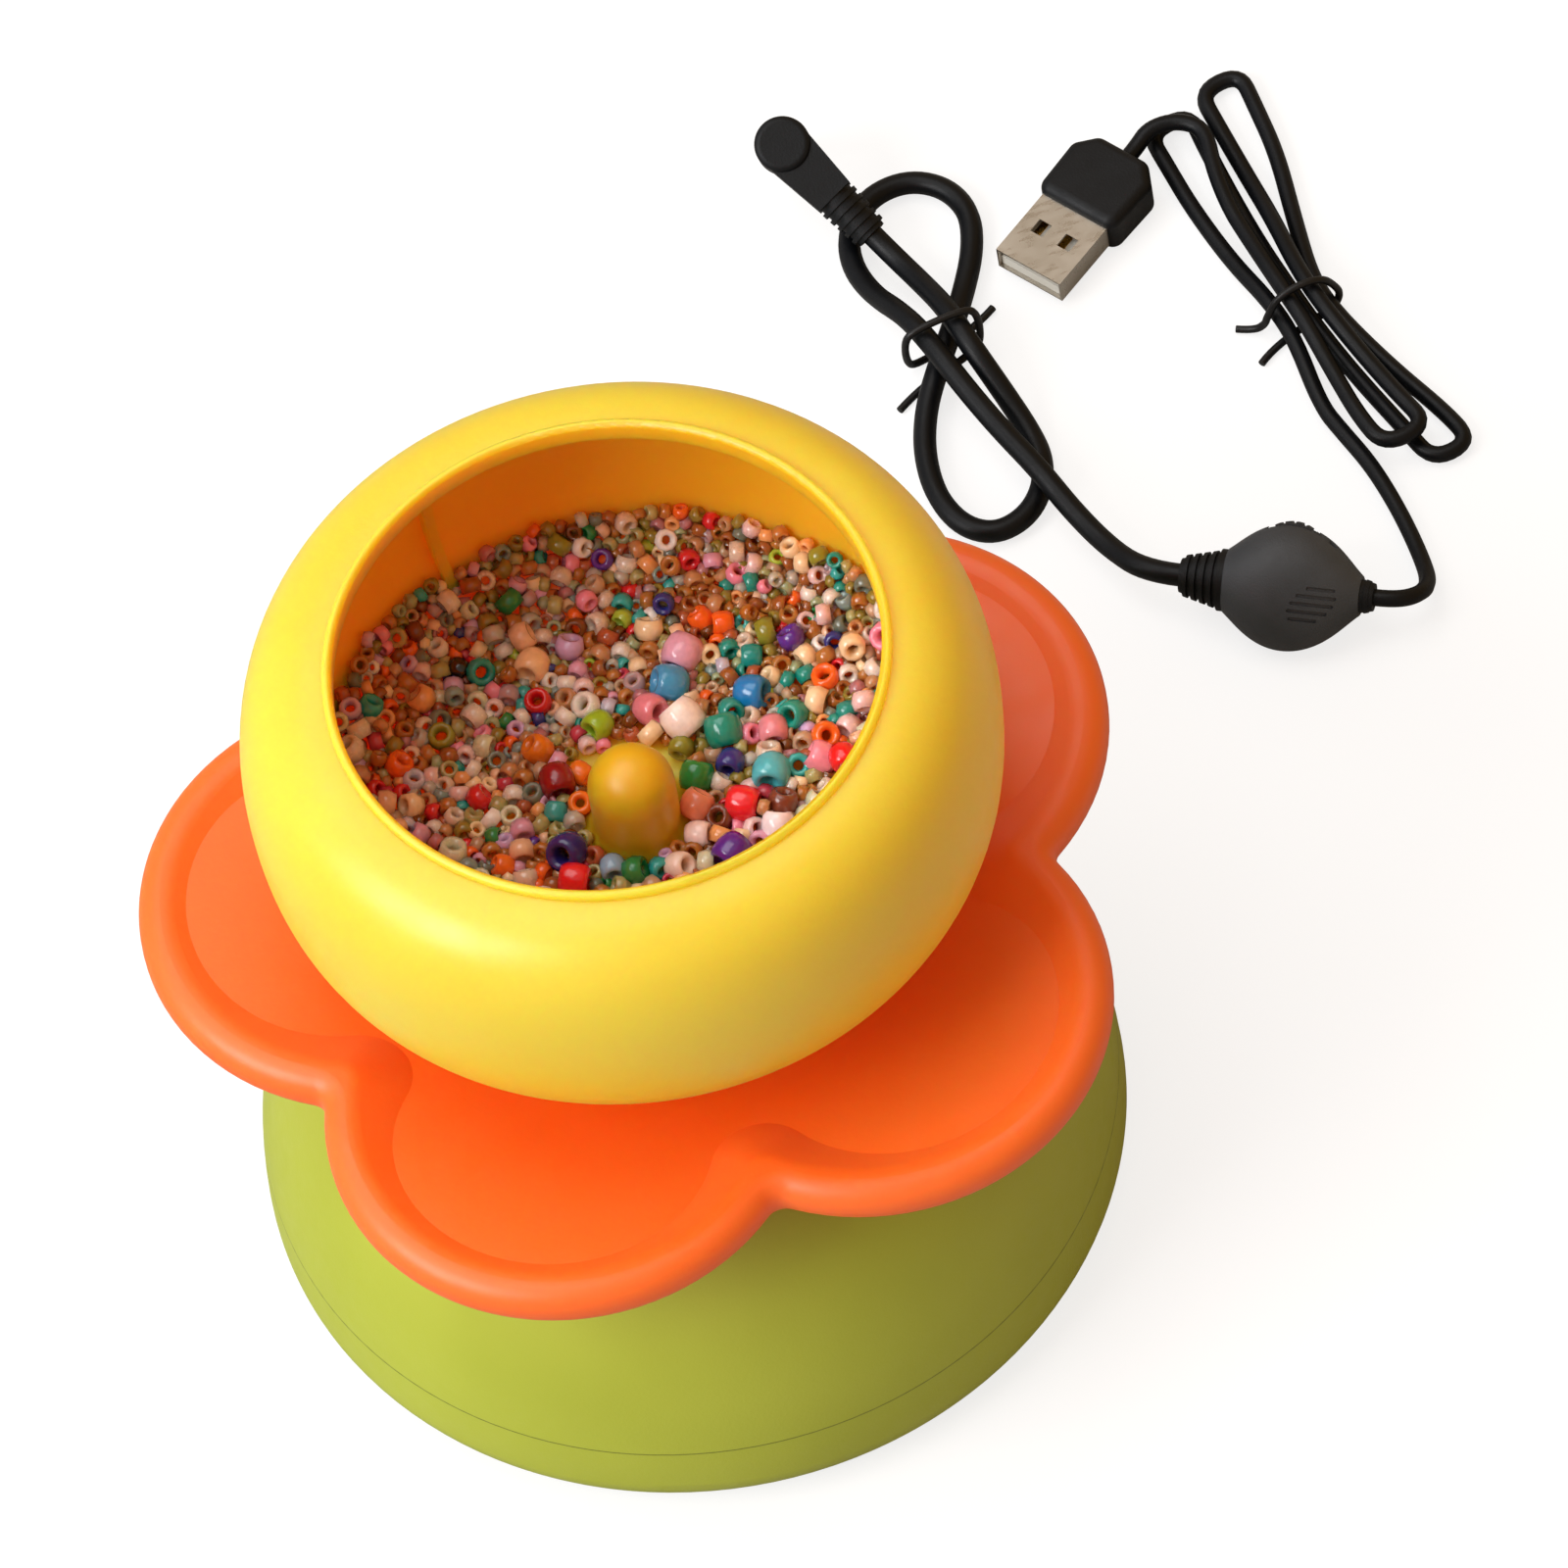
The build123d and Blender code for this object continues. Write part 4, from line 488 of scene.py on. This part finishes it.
# Power lead: from the controller's ribbed relief back to the right angle plug
power_cord_radius = 1.75
power_route = [
    (98.04, 63.80, 7.41),
    (93.28, 66.55, 7.41),
    (90.0, 74.2, 4.8),
    (87.0, 82.4, 5.0),
    (84.4, 90.8, 6.6),
    (81.4, 99.6, 6.6),
    (78.7, 108.4, 7.4),
    (76.6, 116.6, 8.2),
    (74.6, 124.0, 7.6),
    (71.6, 132.6, 3.2),
    (70.4, 140.0, 2.0),
    (72.2, 146.4, 2.0),
    (77.2, 150.8, 2.0),
    (83.4, 151.4, 2.0),
    (88.4, 148.0, 2.0),
    (90.4, 142.2, 2.0),
    (88.6, 135.4, 2.0),
    (84.6, 128.2, 2.2),
    (80.4, 121.2, 3.7),
    (76.8, 116.2, 3.7),
    (72.6, 110.3, 2.4),
    (69.8, 103.0, 2.0),
    (69.0, 95.0, 2.0),
    (70.9, 88.3, 2.0),
    (75.1, 85.0, 2.0),
    (80.3, 86.0, 2.0),
    (84.3, 89.8, 2.0),
    (86.2, 95.3, 2.0),
    (85.9, 101.0, 2.0),
    (84.2, 107.6, 4.4),
    (81.8, 115.2, 8.2),
    (80.7, 122.4, 8.2),
    (79.2, 130.4, 4.8),
    (76.76, 137.89, 3.71),
    (74.80, 141.50, 5.54),
]
power_lead = cord_line("power_lead", power_route, power_cord_radius, cable_black)

# USB lead: a run from the controller, a tied hank, and a tail to the plug
usb_cord_radius = 1.3
hank_place = (131.5, 105.5)
hank_heading = -80.0
hank_reach = 38.0
hank_bow_near = 3.5
hank_bow_far = 2.0
hank_heights = [1.55, 5.1, 3.15, 6.7, 4.3]
run_route = [
    (123.68, 49.00, 7.41),
    (126.80, 47.20, 7.41),
    (130.9, 48.2, 5.6),
    (132.9, 51.5, 3.2),
    (133.4, 56.8, 1.75),
    (133.3, 63.6, 1.55),
    (132.7, 70.4, 1.55),
    (131.7, 76.6, 1.55),
    (129.89, 82.90, 1.55),
]
# Along the hank, across it, and its layer. A fold has its two corners.
hank_route = [
    (16.0, -6.6, 0),
    (4.0, -3.75, 2),
    (-4.0, -3.75, 2),
    (-14.0, -4.9, 0),
    (-26.0, -5.9, 0),
    (-35.0, -6.1, 0),
    (-41.6, -6.4, 0),
    (-41.6, 0.8, 0),
    (-35.0, 0.5, 0),
    (-24.0, 0.3, 0),
    (-14.0, 0.2, 0),
    (-4.0, 0.0, 2),
    (4.0, 0.0, 2),
    (14.0, 0.7, 0),
    (27.0, 1.0, 0),
    (33.8, 0.8, 0),
    (33.8, 7.4, 0),
    (27.0, 7.6, 0),
    (16.0, 5.9, 0),
    (4.0, 3.75, 2),
    (-4.0, 3.75, 2),
    (-16.0, 6.9, 0),
    (-28.0, 9.8, 0),
    (-37.5, 10.4, 0),
    (-44.1, 10.6, 0),
    (-44.1, 3.6, 0),
    (-37.5, 3.8, 0),
    (-26.0, 4.0, 0),
    (-16.0, 3.4, 4),
    (-4.0, 1.85, 3),
    (4.0, 1.85, 3),
    (14.0, 2.6, 1),
    (23.0, 2.8, 1),
    (29.8, 3.0, 1),
    (29.8, -4.4, 1),
    (23.0, -4.2, 1),
    (14.0, -2.8, 1),
    (4.0, -1.85, 3),
    (-4.0, -1.85, 3),
    (-16.0, -1.6, 1),
]
tail_route = [
    (126.85, 126.00, 5.1),
    (127.0, 133.6, 5.1),
    (128.2, 141.0, 5.1),
    (124.8, 144.1, 5.1),
    (120.22, 144.34, 5.0),
    (117.43, 142.39, 4.0),
    (115.3, 140.9, 4.0),
]


def hank_point(along, across, layer):
    """A point of the hank, whose ends bow to one side."""
    bow = hank_bow_near if along > 0 else hank_bow_far
    bent = across + bow * (along / hank_reach) ** 2
    return beside(hank_place, hank_heading, bent, along, hank_heights[layer])


usb_route = run_route + [hank_point(*place) for place in hank_route] + tail_route
usb_lead = cord_line("usb_lead_hank", usb_route, usb_cord_radius, cable_black)

# Wire ties: across, along and up from the middle of what they hold
tie_radius = 0.6
power_tie_place, power_tie_heading = (78.6, 119.0), -80.2
power_tie_route = [
    (-10.5, 4.6, 0.65),
    (-6.0, 2.6, 0.65),
    (4.2, 1.2, 0.65),
    (5.9, 0.9, 3.0),
    (5.9, 0.6, 9.2),
    (4.2, 0.3, 11.15),
    (-4.2, -0.3, 11.15),
    (-6.0, -0.6, 9.2),
    (-6.0, -1.0, 2.8),
    (-4.4, -1.3, 0.65),
    (6.0, -2.4, 0.65),
    (10.5, -4.4, 0.65),
]
usb_tie_route = [
    (-9.6, 4.0, 0.65),
    (-6.4, 2.2, 0.65),
    (4.4, 0.9, 0.65),
    (6.1, 0.6, 2.4),
    (5.9, 0.4, 4.6),
    (3.4, 0.2, 9.2),
    (-3.4, -0.2, 9.2),
    (-5.9, -0.4, 4.6),
    (-6.1, -0.8, 2.6),
    (-7.6, -1.8, 0.8),
    (-9.8, -3.6, 0.65),
]
power_tie = cord_line(
    "power_lead_wire_tie",
    [beside(power_tie_place, power_tie_heading, *place) for place in power_tie_route],
    tie_radius,
    tie_black,
)
usb_tie = cord_line(
    "usb_lead_wire_tie",
    [beside(hank_place, hank_heading, *place) for place in usb_tie_route],
    tie_radius,
    tie_black,
)

# Motor wires, inside the base from the socket to the terminals
wire_radius = 0.6
red_route = [
    (2.2, 48.0, 8.0),
    (2.2, 43.8, 7.6),
    (0.8, 38.6, 5.8),
    (-3.4, 32.0, 4.7),
    (-8.6, 24.4, 4.7),
    (-12.8, 16.0, 4.7),
    (-15.2, 7.8, 4.7),
    (-18.2, 0.2, 4.7),
    (-23.0, -4.6, 4.9),
]
black_route = [
    (-2.4, 48.0, 8.0),
    (-2.4, 43.6, 7.6),
    (-4.8, 38.4, 5.8),
    (-9.4, 32.4, 4.7),
    (-15.0, 26.0, 4.7),
    (-20.0, 18.8, 4.7),
    (-22.8, 11.6, 4.7),
    (-25.0, 7.0, 4.9),
]
red_wire = cord_line("motor_wire_red", red_route, wire_radius, wire_red)
black_wire = cord_line("motor_wire_black", black_route, wire_radius, cable_black)

for piece, replaced, slot in [
    (power_lead, ["dc_lead"], "cable_black"),
    (usb_lead, ["usb_lead", "usb_hank", "usb_tail"], "cable_black"),
    (power_tie, ["dc_lead_tie"], "tie_black"),
    (usb_tie, ["usb_lead_tie"], "tie_black"),
    (red_wire, ["motor_lead_red"], "wire_red"),
    (black_wire, ["motor_lead_black"], "cable_black"),
]:
    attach(piece, "base")
    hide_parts(*replaced)

# Beads
bead_count = 1500
bead_seed = 11
# How they fall and press: the spin pushes them outwards, and up the bowl's back
settle_steps, quick_steps, presses = 170, 40, 2
fall_step, fall_slowing = 1.1, 0.8
outward_pull = 0.0054
lean_x, lean_y = 0.0555, 0.0989
hold_share = 0.5
push_limit = 0.9
least_gap, least_size = 1e-6, 1e-9
bead_fit = 0.86
# Where they start
start_reach, post_reach = 44.0, 9.0
start_low, start_high = 93.0, 122.0
heap_base = 90.0
first_guess_height = 93.0
large_sink, large_drop = 0.3, 6.0
# How they are mixed. The second share of each pair is what the back of the heap adds
back_x, back_y = 0.37, 0.93
small_share, small_share_back = 0.62, 0.25
middle_share, middle_share_back = 0.92, 0.08
glass_share, glass_share_back = 0.66, 0.18
small_widths, middle_widths, big_widths = (2.1, 2.8), (2.9, 3.6), (3.7, 4.6)

glass_colours = [
    ("#E29A4C", 10), ("#EFC49C", 7), ("#D8CF86", 8), ("#E59AA0", 5), ("#E9E2D0", 8),
    ("#B8A545", 8), ("#9C5A22", 5), ("#93A08C", 4), ("#F0B27A", 9), ("#D98B3A", 9),
    ("#C9D6A0", 5), ("#E7C3C6", 4), ("#A8C4BC", 3), ("#C97B3C", 7), ("#DF7A4E", 5),
]
opaque_colours = [
    ("#F0641C", 8), ("#D4202A", 3), ("#12907F", 4), ("#2CA8A0", 4), ("#1D78BC", 1),
    ("#2A3078", 2), ("#1C8442", 2), ("#5A2A8C", 1), ("#EE8AA0", 6), ("#DB9CB4", 5),
    ("#F3EBE2", 5), ("#F2D2A4", 8), ("#7A3A22", 2), ("#A6BE3A", 2), ("#8C8A2C", 2),
    ("#E8A060", 6), ("#CDA6CC", 3), ("#E9B892", 6), ("#C03B50", 3),
]
pearl_colours = [
    ("#EFE3D4", 5), ("#E4C9B0", 4), ("#F0CBC6", 4), ("#D9D8B4", 3), ("#C9C2D2", 2),
]
# Larger beads: where each lies on the heap, its diameter and its colour
large_beads = [
    (690, 635, 6.0, "#DDA0B4"), (678, 672, 5.8, "#3E93BE"), (660, 703, 5.0, "#E2808A"),
    (693, 715, 6.4, "#F4E2D6"), (763, 680, 5.4, "#127CBC"), (735, 725, 5.8, "#128A72"),
    (742, 703, 4.0, "#189080"), (710, 595, 3.8, "#F0601A"), (730, 598, 3.8, "#F0601A"),
    (838, 727, 4.4, "#F06A1E"), (785, 773, 5.8, "#52B6BE"), (742, 765, 4.4, "#2C2C7C"),
    (709, 780, 5.2, "#1B8A3E"), (757, 810, 5.6, "#E8242E"), (855, 757, 4.4, "#E81E22"),
    (586, 893, 5.2, "#E8202A"), (792, 808, 4.6, "#7C3E2A"), (790, 828, 5.0, "#F5E4E4"),
    (745, 862, 5.8, "#5A2488"), (566, 787, 5.4, "#8E0C1C"), (578, 865, 6.0, "#2E2470"),
    (565, 818, 3.6, "#2E9E96"), (512, 877, 3.6, "#F07020"), (536, 650, 5.2, "#F2C492"),
    (460, 655, 3.4, "#16100E"), (543, 693, 4.2, "#CC1420"), (700, 690, 3.0, "#E4C3A0"),
    (802, 707, 4.6, "#14927E"), (761, 635, 3.8, "#128E84"), (835, 752, 5.0, "#EE8C9A"),
    (788, 720, 4.6, "#E08890"), (606, 722, 4.6, "#9CC02C"), (544, 749, 4.6, "#E0761C"),
    (588, 777, 3.6, "#F07A22"), (588, 812, 3.8, "#F07A22"), (710, 815, 5.0, "#E08A6A"),
    (692, 878, 4.4, "#EFD8C8"), (712, 845, 4.2, "#F2DCD6"), (627, 882, 4.0, "#8FB4CC"),
]


def weighted(pick, table):
    return pick.choices([c for c, _ in table], [w for _, w in table])[0]


def heap_point(across, down, height):
    """The point at a height that shows at a pixel of the square frame."""
    half = frame_pixels / 2
    reach = camera_lens / camera_sensor * 2 * half
    ray = (
        Vector(camera_right) * (across - half) / reach
        - Vector(camera_up) * (down - half) / reach
        - Vector(camera_back)
    )
    start = Vector(camera_place)
    return start + ray * (height - start.z) / ray.z


def heap_height(x, y):
    return heap_base + lean_x * x + lean_y * y + outward_pull / 2 * (x * x + y * y)


def walls_of(names):
    """The closest point tree of some of the CAD nodes."""
    points, faces = [], []
    for name in names:
        mesh, start = nodes[name].data, len(points)
        points += [v.co.copy() for v in mesh.vertices]
        faces += [[start + i for i in f.vertices] for f in mesh.polygons]
    return BVHTree.FromPolygons(points, faces)


def settle(places, radii, held, walls, steps):
    """Lets the beads fall and press outwards, pushing them apart and off the bowl."""
    places, radii = np.array(places), np.array(radii)
    reach = float(radii.max())
    anchor = places.copy()
    for step in range(steps):
        pull = fall_step * (1.0 - fall_slowing * step / steps)
        move = np.stack(
            [
                lean_x + outward_pull * places[:, 0],
                lean_y + outward_pull * places[:, 1],
                -np.ones(len(places)),
            ],
            1,
        )
        places = places + move * pull
        places[held, :2] += hold_share * (anchor[held, :2] - places[held, :2])
        for _ in range(presses):
            tree = KDTree(len(places))
            for i, place in enumerate(places):
                tree.insert(place, i)
            tree.balance()
            push = np.zeros_like(places)
            for i, place in enumerate(places):
                for other, j, gap in tree.find_range(place, radii[i] + reach):
                    overlap = radii[i] + radii[j] - gap
                    if i < j and overlap > 0 and gap > least_gap:
                        way = (place - np.array(other)) / gap
                        share = radii[j] ** 3 / (radii[i] ** 3 + radii[j] ** 3)
                        push[i] += way * overlap * share
                        push[j] -= way * overlap * (1 - share)
            size = np.linalg.norm(push, axis=1, keepdims=True)
            places = places + push * np.minimum(1.0, push_limit / np.maximum(size, least_size))
            for i, place in enumerate(places):
                spot, way, _, _ = walls.find_nearest(Vector(place) * mm)
                clear = (Vector(place) - spot / mm).dot(way)
                if clear < radii[i]:
                    places[i] += np.array(way) * (radii[i] - clear)
    return places


pick = random.Random(bead_seed)
places, widths, colours, kinds, held = [], [], [], [], []
for across, down, width, colour in large_beads:
    spot = heap_point(across, down, first_guess_height)
    spot = heap_point(across, down, heap_height(spot.x, spot.y) + width * large_sink)
    places.append((spot.x, spot.y, spot.z + large_drop))
    widths.append(width)
    colours.append(colour)
    kinds.append("opaque")
    held.append(len(places) - 1)
while len(places) < bead_count:
    x, y = (pick.uniform(-start_reach, start_reach) for _ in range(2))
    z, back = pick.uniform(start_low, start_high), (x * back_x + y * back_y) / start_reach
    if not post_reach < math.hypot(x, y) < start_reach:
        continue
    share = pick.random()
    if share < small_share + small_share_back * back:
        width = pick.uniform(*small_widths)
        is_glass = pick.random() < glass_share + glass_share_back * back
        kind = "glass" if is_glass else "opaque"
    elif share < middle_share + middle_share_back * back:
        width, kind = pick.uniform(*middle_widths), pick.choice(["glass", "opaque", "pearl"])
    else:
        width, kind = pick.uniform(*big_widths), pick.choice(["opaque", "opaque", "pearl"])
    table = {"glass": glass_colours, "opaque": opaque_colours, "pearl": pearl_colours}
    places.append((x, y, z))
    widths.append(width)
    colours.append(weighted(pick, table[kind]))
    kinds.append(kind)
steps = settle_steps
places = settle(
    places,
    [w / 2 * bead_fit for w in widths],
    held,
    walls_of(["bowl_lower", "bowl_upper"]),
    steps,
)


def ring_bead(name, hole, tall, around, section):
    """A bead one unit across with its hole upright: a rounded wall turned about its axis."""
    mesh = bpy.data.meshes.new(name)
    shape = bmesh.new()
    middle, thick = (1 + hole) / 4, (1 - hole) / 4
    rings = []
    for i in range(around):
        turn = 2 * math.pi * i / around
        ring = []
        for j in range(section):
            swing = 2 * math.pi * j / section
            reach = middle + thick * math.cos(swing)
            ring.append(
                shape.verts.new(
                    (
                        reach * math.cos(turn),
                        reach * math.sin(turn),
                        tall / 2 * math.sin(swing),
                    )
                )
            )
        rings.append(ring)
    for i in range(around):
        for j in range(section):
            k, m = (i + 1) % around, (j + 1) % section
            face = shape.faces.new((rings[i][j], rings[k][j], rings[k][m], rings[i][m]))
            face.smooth = True
    bmesh.ops.recalc_face_normals(shape, faces=shape.faces)
    shape.to_mesh(mesh)
    shape.free()
    bead = bpy.data.objects.new(name, mesh)
    scene.collection.objects.link(bead)
    return bead


def scatter_tree():
    """Geometry Nodes: one bead on each point, turned at random, with its own width."""
    tree = bpy.data.node_groups.new("bead_scatter", "GeometryNodeTree")
    for name, kind in [
        ("Points", "NodeSocketGeometry"),
        ("Bead", "NodeSocketObject"),
        ("Width Factor", "NodeSocketFloat"),
        ("Turn Seed", "NodeSocketInt"),
        ("Finish", "NodeSocketMaterial"),
    ]:
        tree.interface.new_socket(name, in_out="INPUT", socket_type=kind)
    tree.interface.new_socket(
        "Beads", in_out="OUTPUT", socket_type="NodeSocketGeometry"
    )
    given = add_node(tree, "NodeGroupInput")
    bead = add_node(
        tree, "GeometryNodeObjectInfo", {"Object": given.outputs["Bead"], "As Instance": True}
    )
    width = add_node(
        tree, "GeometryNodeInputNamedAttribute", {"Name": "width"}, data_type="FLOAT"
    )
    scaled = add_node(
        tree,
        "ShaderNodeMath",
        {0: width.outputs["Attribute"], 1: given.outputs["Width Factor"]},
        operation="MULTIPLY",
    )
    turn = add_node(
        tree,
        "FunctionNodeRandomValue",
        {0: (0.0, 0.0, 0.0), 1: (math.tau, math.tau, math.tau)},
        data_type="FLOAT_VECTOR",
    )
    tree.links.new(given.outputs["Turn Seed"], turn.inputs["Seed"])
    spread = add_node(
        tree,
        "GeometryNodeInstanceOnPoints",
        {
            "Points": given.outputs["Points"],
            "Instance": bead.outputs["Geometry"],
            "Rotation": turn.outputs["Value"],
            "Scale": scaled.outputs["Value"],
        },
    )
    real = add_node(
        tree, "GeometryNodeRealizeInstances", {"Geometry": spread.outputs["Instances"]}
    )
    painted = add_node(
        tree,
        "GeometryNodeSetMaterial",
        {"Geometry": real.outputs["Geometry"], "Material": given.outputs["Finish"]},
    )
    add_node(tree, "NodeGroupOutput", {"Beads": painted.outputs["Geometry"]})
    return tree


bead_scatter = scatter_tree()


def bead_piece(name, chosen, bead, finish, seed):
    """The chosen beads as one mesh, each with its own colour."""
    mesh = bpy.data.meshes.new(name + "_points")
    mesh.from_pydata([places[i] * mm for i in chosen], [], [])
    mesh.attributes.new("width", "FLOAT", "POINT").data.foreach_set(
        "value", [widths[i] * mm for i in chosen]
    )
    mesh.attributes.new("bead_colour", "FLOAT_COLOR", "POINT").data.foreach_set(
        "color", [part for i in chosen for part in linear(colours[i])]
    )
    points = bpy.data.objects.new(name + "_points", mesh)
    scene.collection.objects.link(points)
    scatter = points.modifiers.new("beads", "NODES")
    scatter.node_group = bead_scatter
    sockets = {s.name: s.identifier for s in bead_scatter.interface.items_tree}
    for socket, value in [
        ("Bead", bead),
        ("Width Factor", 1.0),
        ("Turn Seed", seed),
        ("Finish", finish),
    ]:
        scatter[sockets[socket]] = value
    bpy.context.view_layer.update()
    seen = points.evaluated_get(bpy.context.evaluated_depsgraph_get())
    made = bpy.data.meshes.new_from_object(seen)
    made.name = name
    piece = bpy.data.objects.new(name, made)
    scene.collection.objects.link(piece)
    points.modifiers.clear()
    bpy.data.objects.remove(points)
    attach(piece, "bowl")
    return piece


bead_shade_size, bead_shade_low, bead_shade_high = 1.6, 0.93, 1.14
bead_pit_size, bead_pit_depth = 0.7, 0.02
bead_patch_size, bead_duller = 1.1, 0.08
bead_glow_colour, bead_glow_reach = (1.0, 0.6, 0.35), 1.2
pearl_coat_rough = 0.06


def bead_finish(name, rough, clear, pearl, glow):
    """A bead's finish, which takes each bead's own colour."""
    finish, tree, place = new_finish(name)
    colour = add_node(tree, "ShaderNodeAttribute", attribute_name="bead_colour")
    shade = add_node(
        tree,
        "ShaderNodeHueSaturation",
        {
            "Color": colour.outputs["Color"],
            "Value": spread_of(
                tree, place, bead_shade_size, bead_shade_low, bead_shade_high
            ),
        },
    )
    pits = spread_of(tree, place, bead_pit_size, 0.0, 1.0)
    bump = add_node(
        tree, "ShaderNodeBump", {"Height": pits, "Distance": bead_pit_depth * mm}
    )
    shader = add_node(
        tree,
        "ShaderNodeBsdfPrincipled",
        {
            "Base Color": shade.outputs["Color"],
            "Roughness": spread_of(
                tree, place, bead_patch_size, rough, rough + bead_duller
            ),
            "IOR": glass_ior,
            "Transmission Weight": clear,
            "Subsurface Weight": glow,
            "Subsurface Radius": bead_glow_colour,
            "Subsurface Scale": bead_glow_reach * mm,
            "Coat Weight": pearl,
            "Coat Roughness": pearl_coat_rough,
            "Normal": bump.outputs["Normal"],
        },
    )
    show_finish(tree, shader)
    return finish


# Lampworked opaque glass: solid colour under a fire polished, slightly uneven skin.
opaque_glass = bead_finish("opaque_bead_glass", 0.14, 0.0, 0.4, 0.1)
# Drawn seed bead glass: tinted and see through, so the heap glows amber in the shade.
clear_glass = bead_finish("tinted_bead_glass", 0.05, 0.5, 0.4, 0.4)
# Lustred glass: a thin pearl coat with a bright soft shine.
pearl_glass = bead_finish("lustred_bead_glass", 0.22, 0.1, 1.0, 0.2)

small_shape = ring_bead("small_bead_shape", 0.36, 0.72, 10, 6)
large_shape = ring_bead("large_bead_shape", 0.30, 0.86, 16, 10)
groups = {
    "glass_seed_beads": ("glass", clear_glass, small_shape, 3),
    "opaque_seed_beads": ("opaque", opaque_glass, small_shape, 4),
    "lustred_seed_beads": ("pearl", pearl_glass, small_shape, 5),
}
for name, (kind, finish, shape, seed) in groups.items():
    chosen = [i for i in range(len(held), len(places)) if kinds[i] == kind]
    bead_piece(name, chosen, shape, finish, seed)
bead_piece("large_beads", held, large_shape, opaque_glass, 8)
for shape in (small_shape, large_shape):
    bpy.data.objects.remove(shape)

# Floor, world and lamps
floor_reach = 4.0
floor_mesh = bpy.data.meshes.new("floor")
floor_mesh.from_pydata(
    [
        (-floor_reach, -floor_reach, 0.0),
        (floor_reach, -floor_reach, 0.0),
        (floor_reach, floor_reach, 0.0),
        (-floor_reach, floor_reach, 0.0),
    ],
    [],
    [(0, 1, 2, 3)],
)
floor = bpy.data.objects.new("floor", floor_mesh)
scene.collection.objects.link(floor)
# Matt board. The camera sees it lifted to white, with only a soft shadow left.
shadow_share = 0.27
floor_lift = 0.78
board_grain = 1.5
floor_finish, tree, place = new_finish("white_board")
grain = spread_of(tree, place, board_grain, 0.0, 1.0)
board = add_node(
    tree, "ShaderNodeBsdfDiffuse", {"Color": blended(tree, grain, "#A9A9A7", "#ACACAA")}
)
soft = add_node(
    tree, "ShaderNodeBsdfDiffuse", {"Color": [shadow_share, shadow_share, shadow_share, 1.0]}
)
glow = add_node(tree, "ShaderNodeEmission", {"Strength": floor_lift})
lifted = add_node(tree, "ShaderNodeAddShader", {0: soft.outputs[0], 1: glow.outputs[0]})
path = add_node(tree, "ShaderNodeLightPath")
show_finish(
    tree,
    add_node(
        tree,
        "ShaderNodeMixShader",
        {
            0: path.outputs["Is Camera Ray"],
            1: board.outputs[0],
            2: lifted.outputs[0],
        },
    ),
)
floor_mesh.materials.append(floor_finish)

# Pale room: white on the left, warm on the right, and plain white to the camera
room_left, room_right = (0.52, 0.52, 0.54), (0.52, 0.32, 0.12)
world = bpy.data.worlds.new("studio")
scene.world = world
world.use_nodes = True
tree = world.node_tree
tree.nodes.clear()
way = add_node(tree, "ShaderNodeTexCoord").outputs["Generated"]
across = add_node(tree, "ShaderNodeSeparateXYZ", {"Vector": way}).outputs["X"]
fill = add_node(
    tree,
    "ShaderNodeMix",
    {
        mix_share: ramp(tree, across, -1.0, 1.0),
        mix_first: (*room_left, 1.0),
        mix_second: (*room_right, 1.0),
    },
    data_type="RGBA",
)
path = add_node(tree, "ShaderNodeLightPath")
shown = blended(
    tree, path.outputs["Is Camera Ray"], fill.outputs[mix_result], "#FFFFFF"
)
room = add_node(tree, "ShaderNodeBackground", {"Color": shown})
add_node(tree, "ShaderNodeOutputWorld", {"Surface": room.outputs[0]})


def lamp(name, place, aim, size, power):
    data = bpy.data.lights.new(name, "AREA")
    data.shape = "SQUARE"
    data.size = size
    data.energy = power
    soft = bpy.data.objects.new(name, data)
    scene.collection.objects.link(soft)
    soft.location = place
    soft.rotation_euler = (Vector(aim) - Vector(place)).to_track_quat("-Z", "Y").to_euler()


lamp("key_softbox", (-1.5, -0.35, 1.25), (0.0, 0.0, 0.06), 1.2, 36.0)
lamp("top_softbox", (-0.3, 0.5, 1.8), (0.05, 0.05, 0.05), 1.4, 13.0)
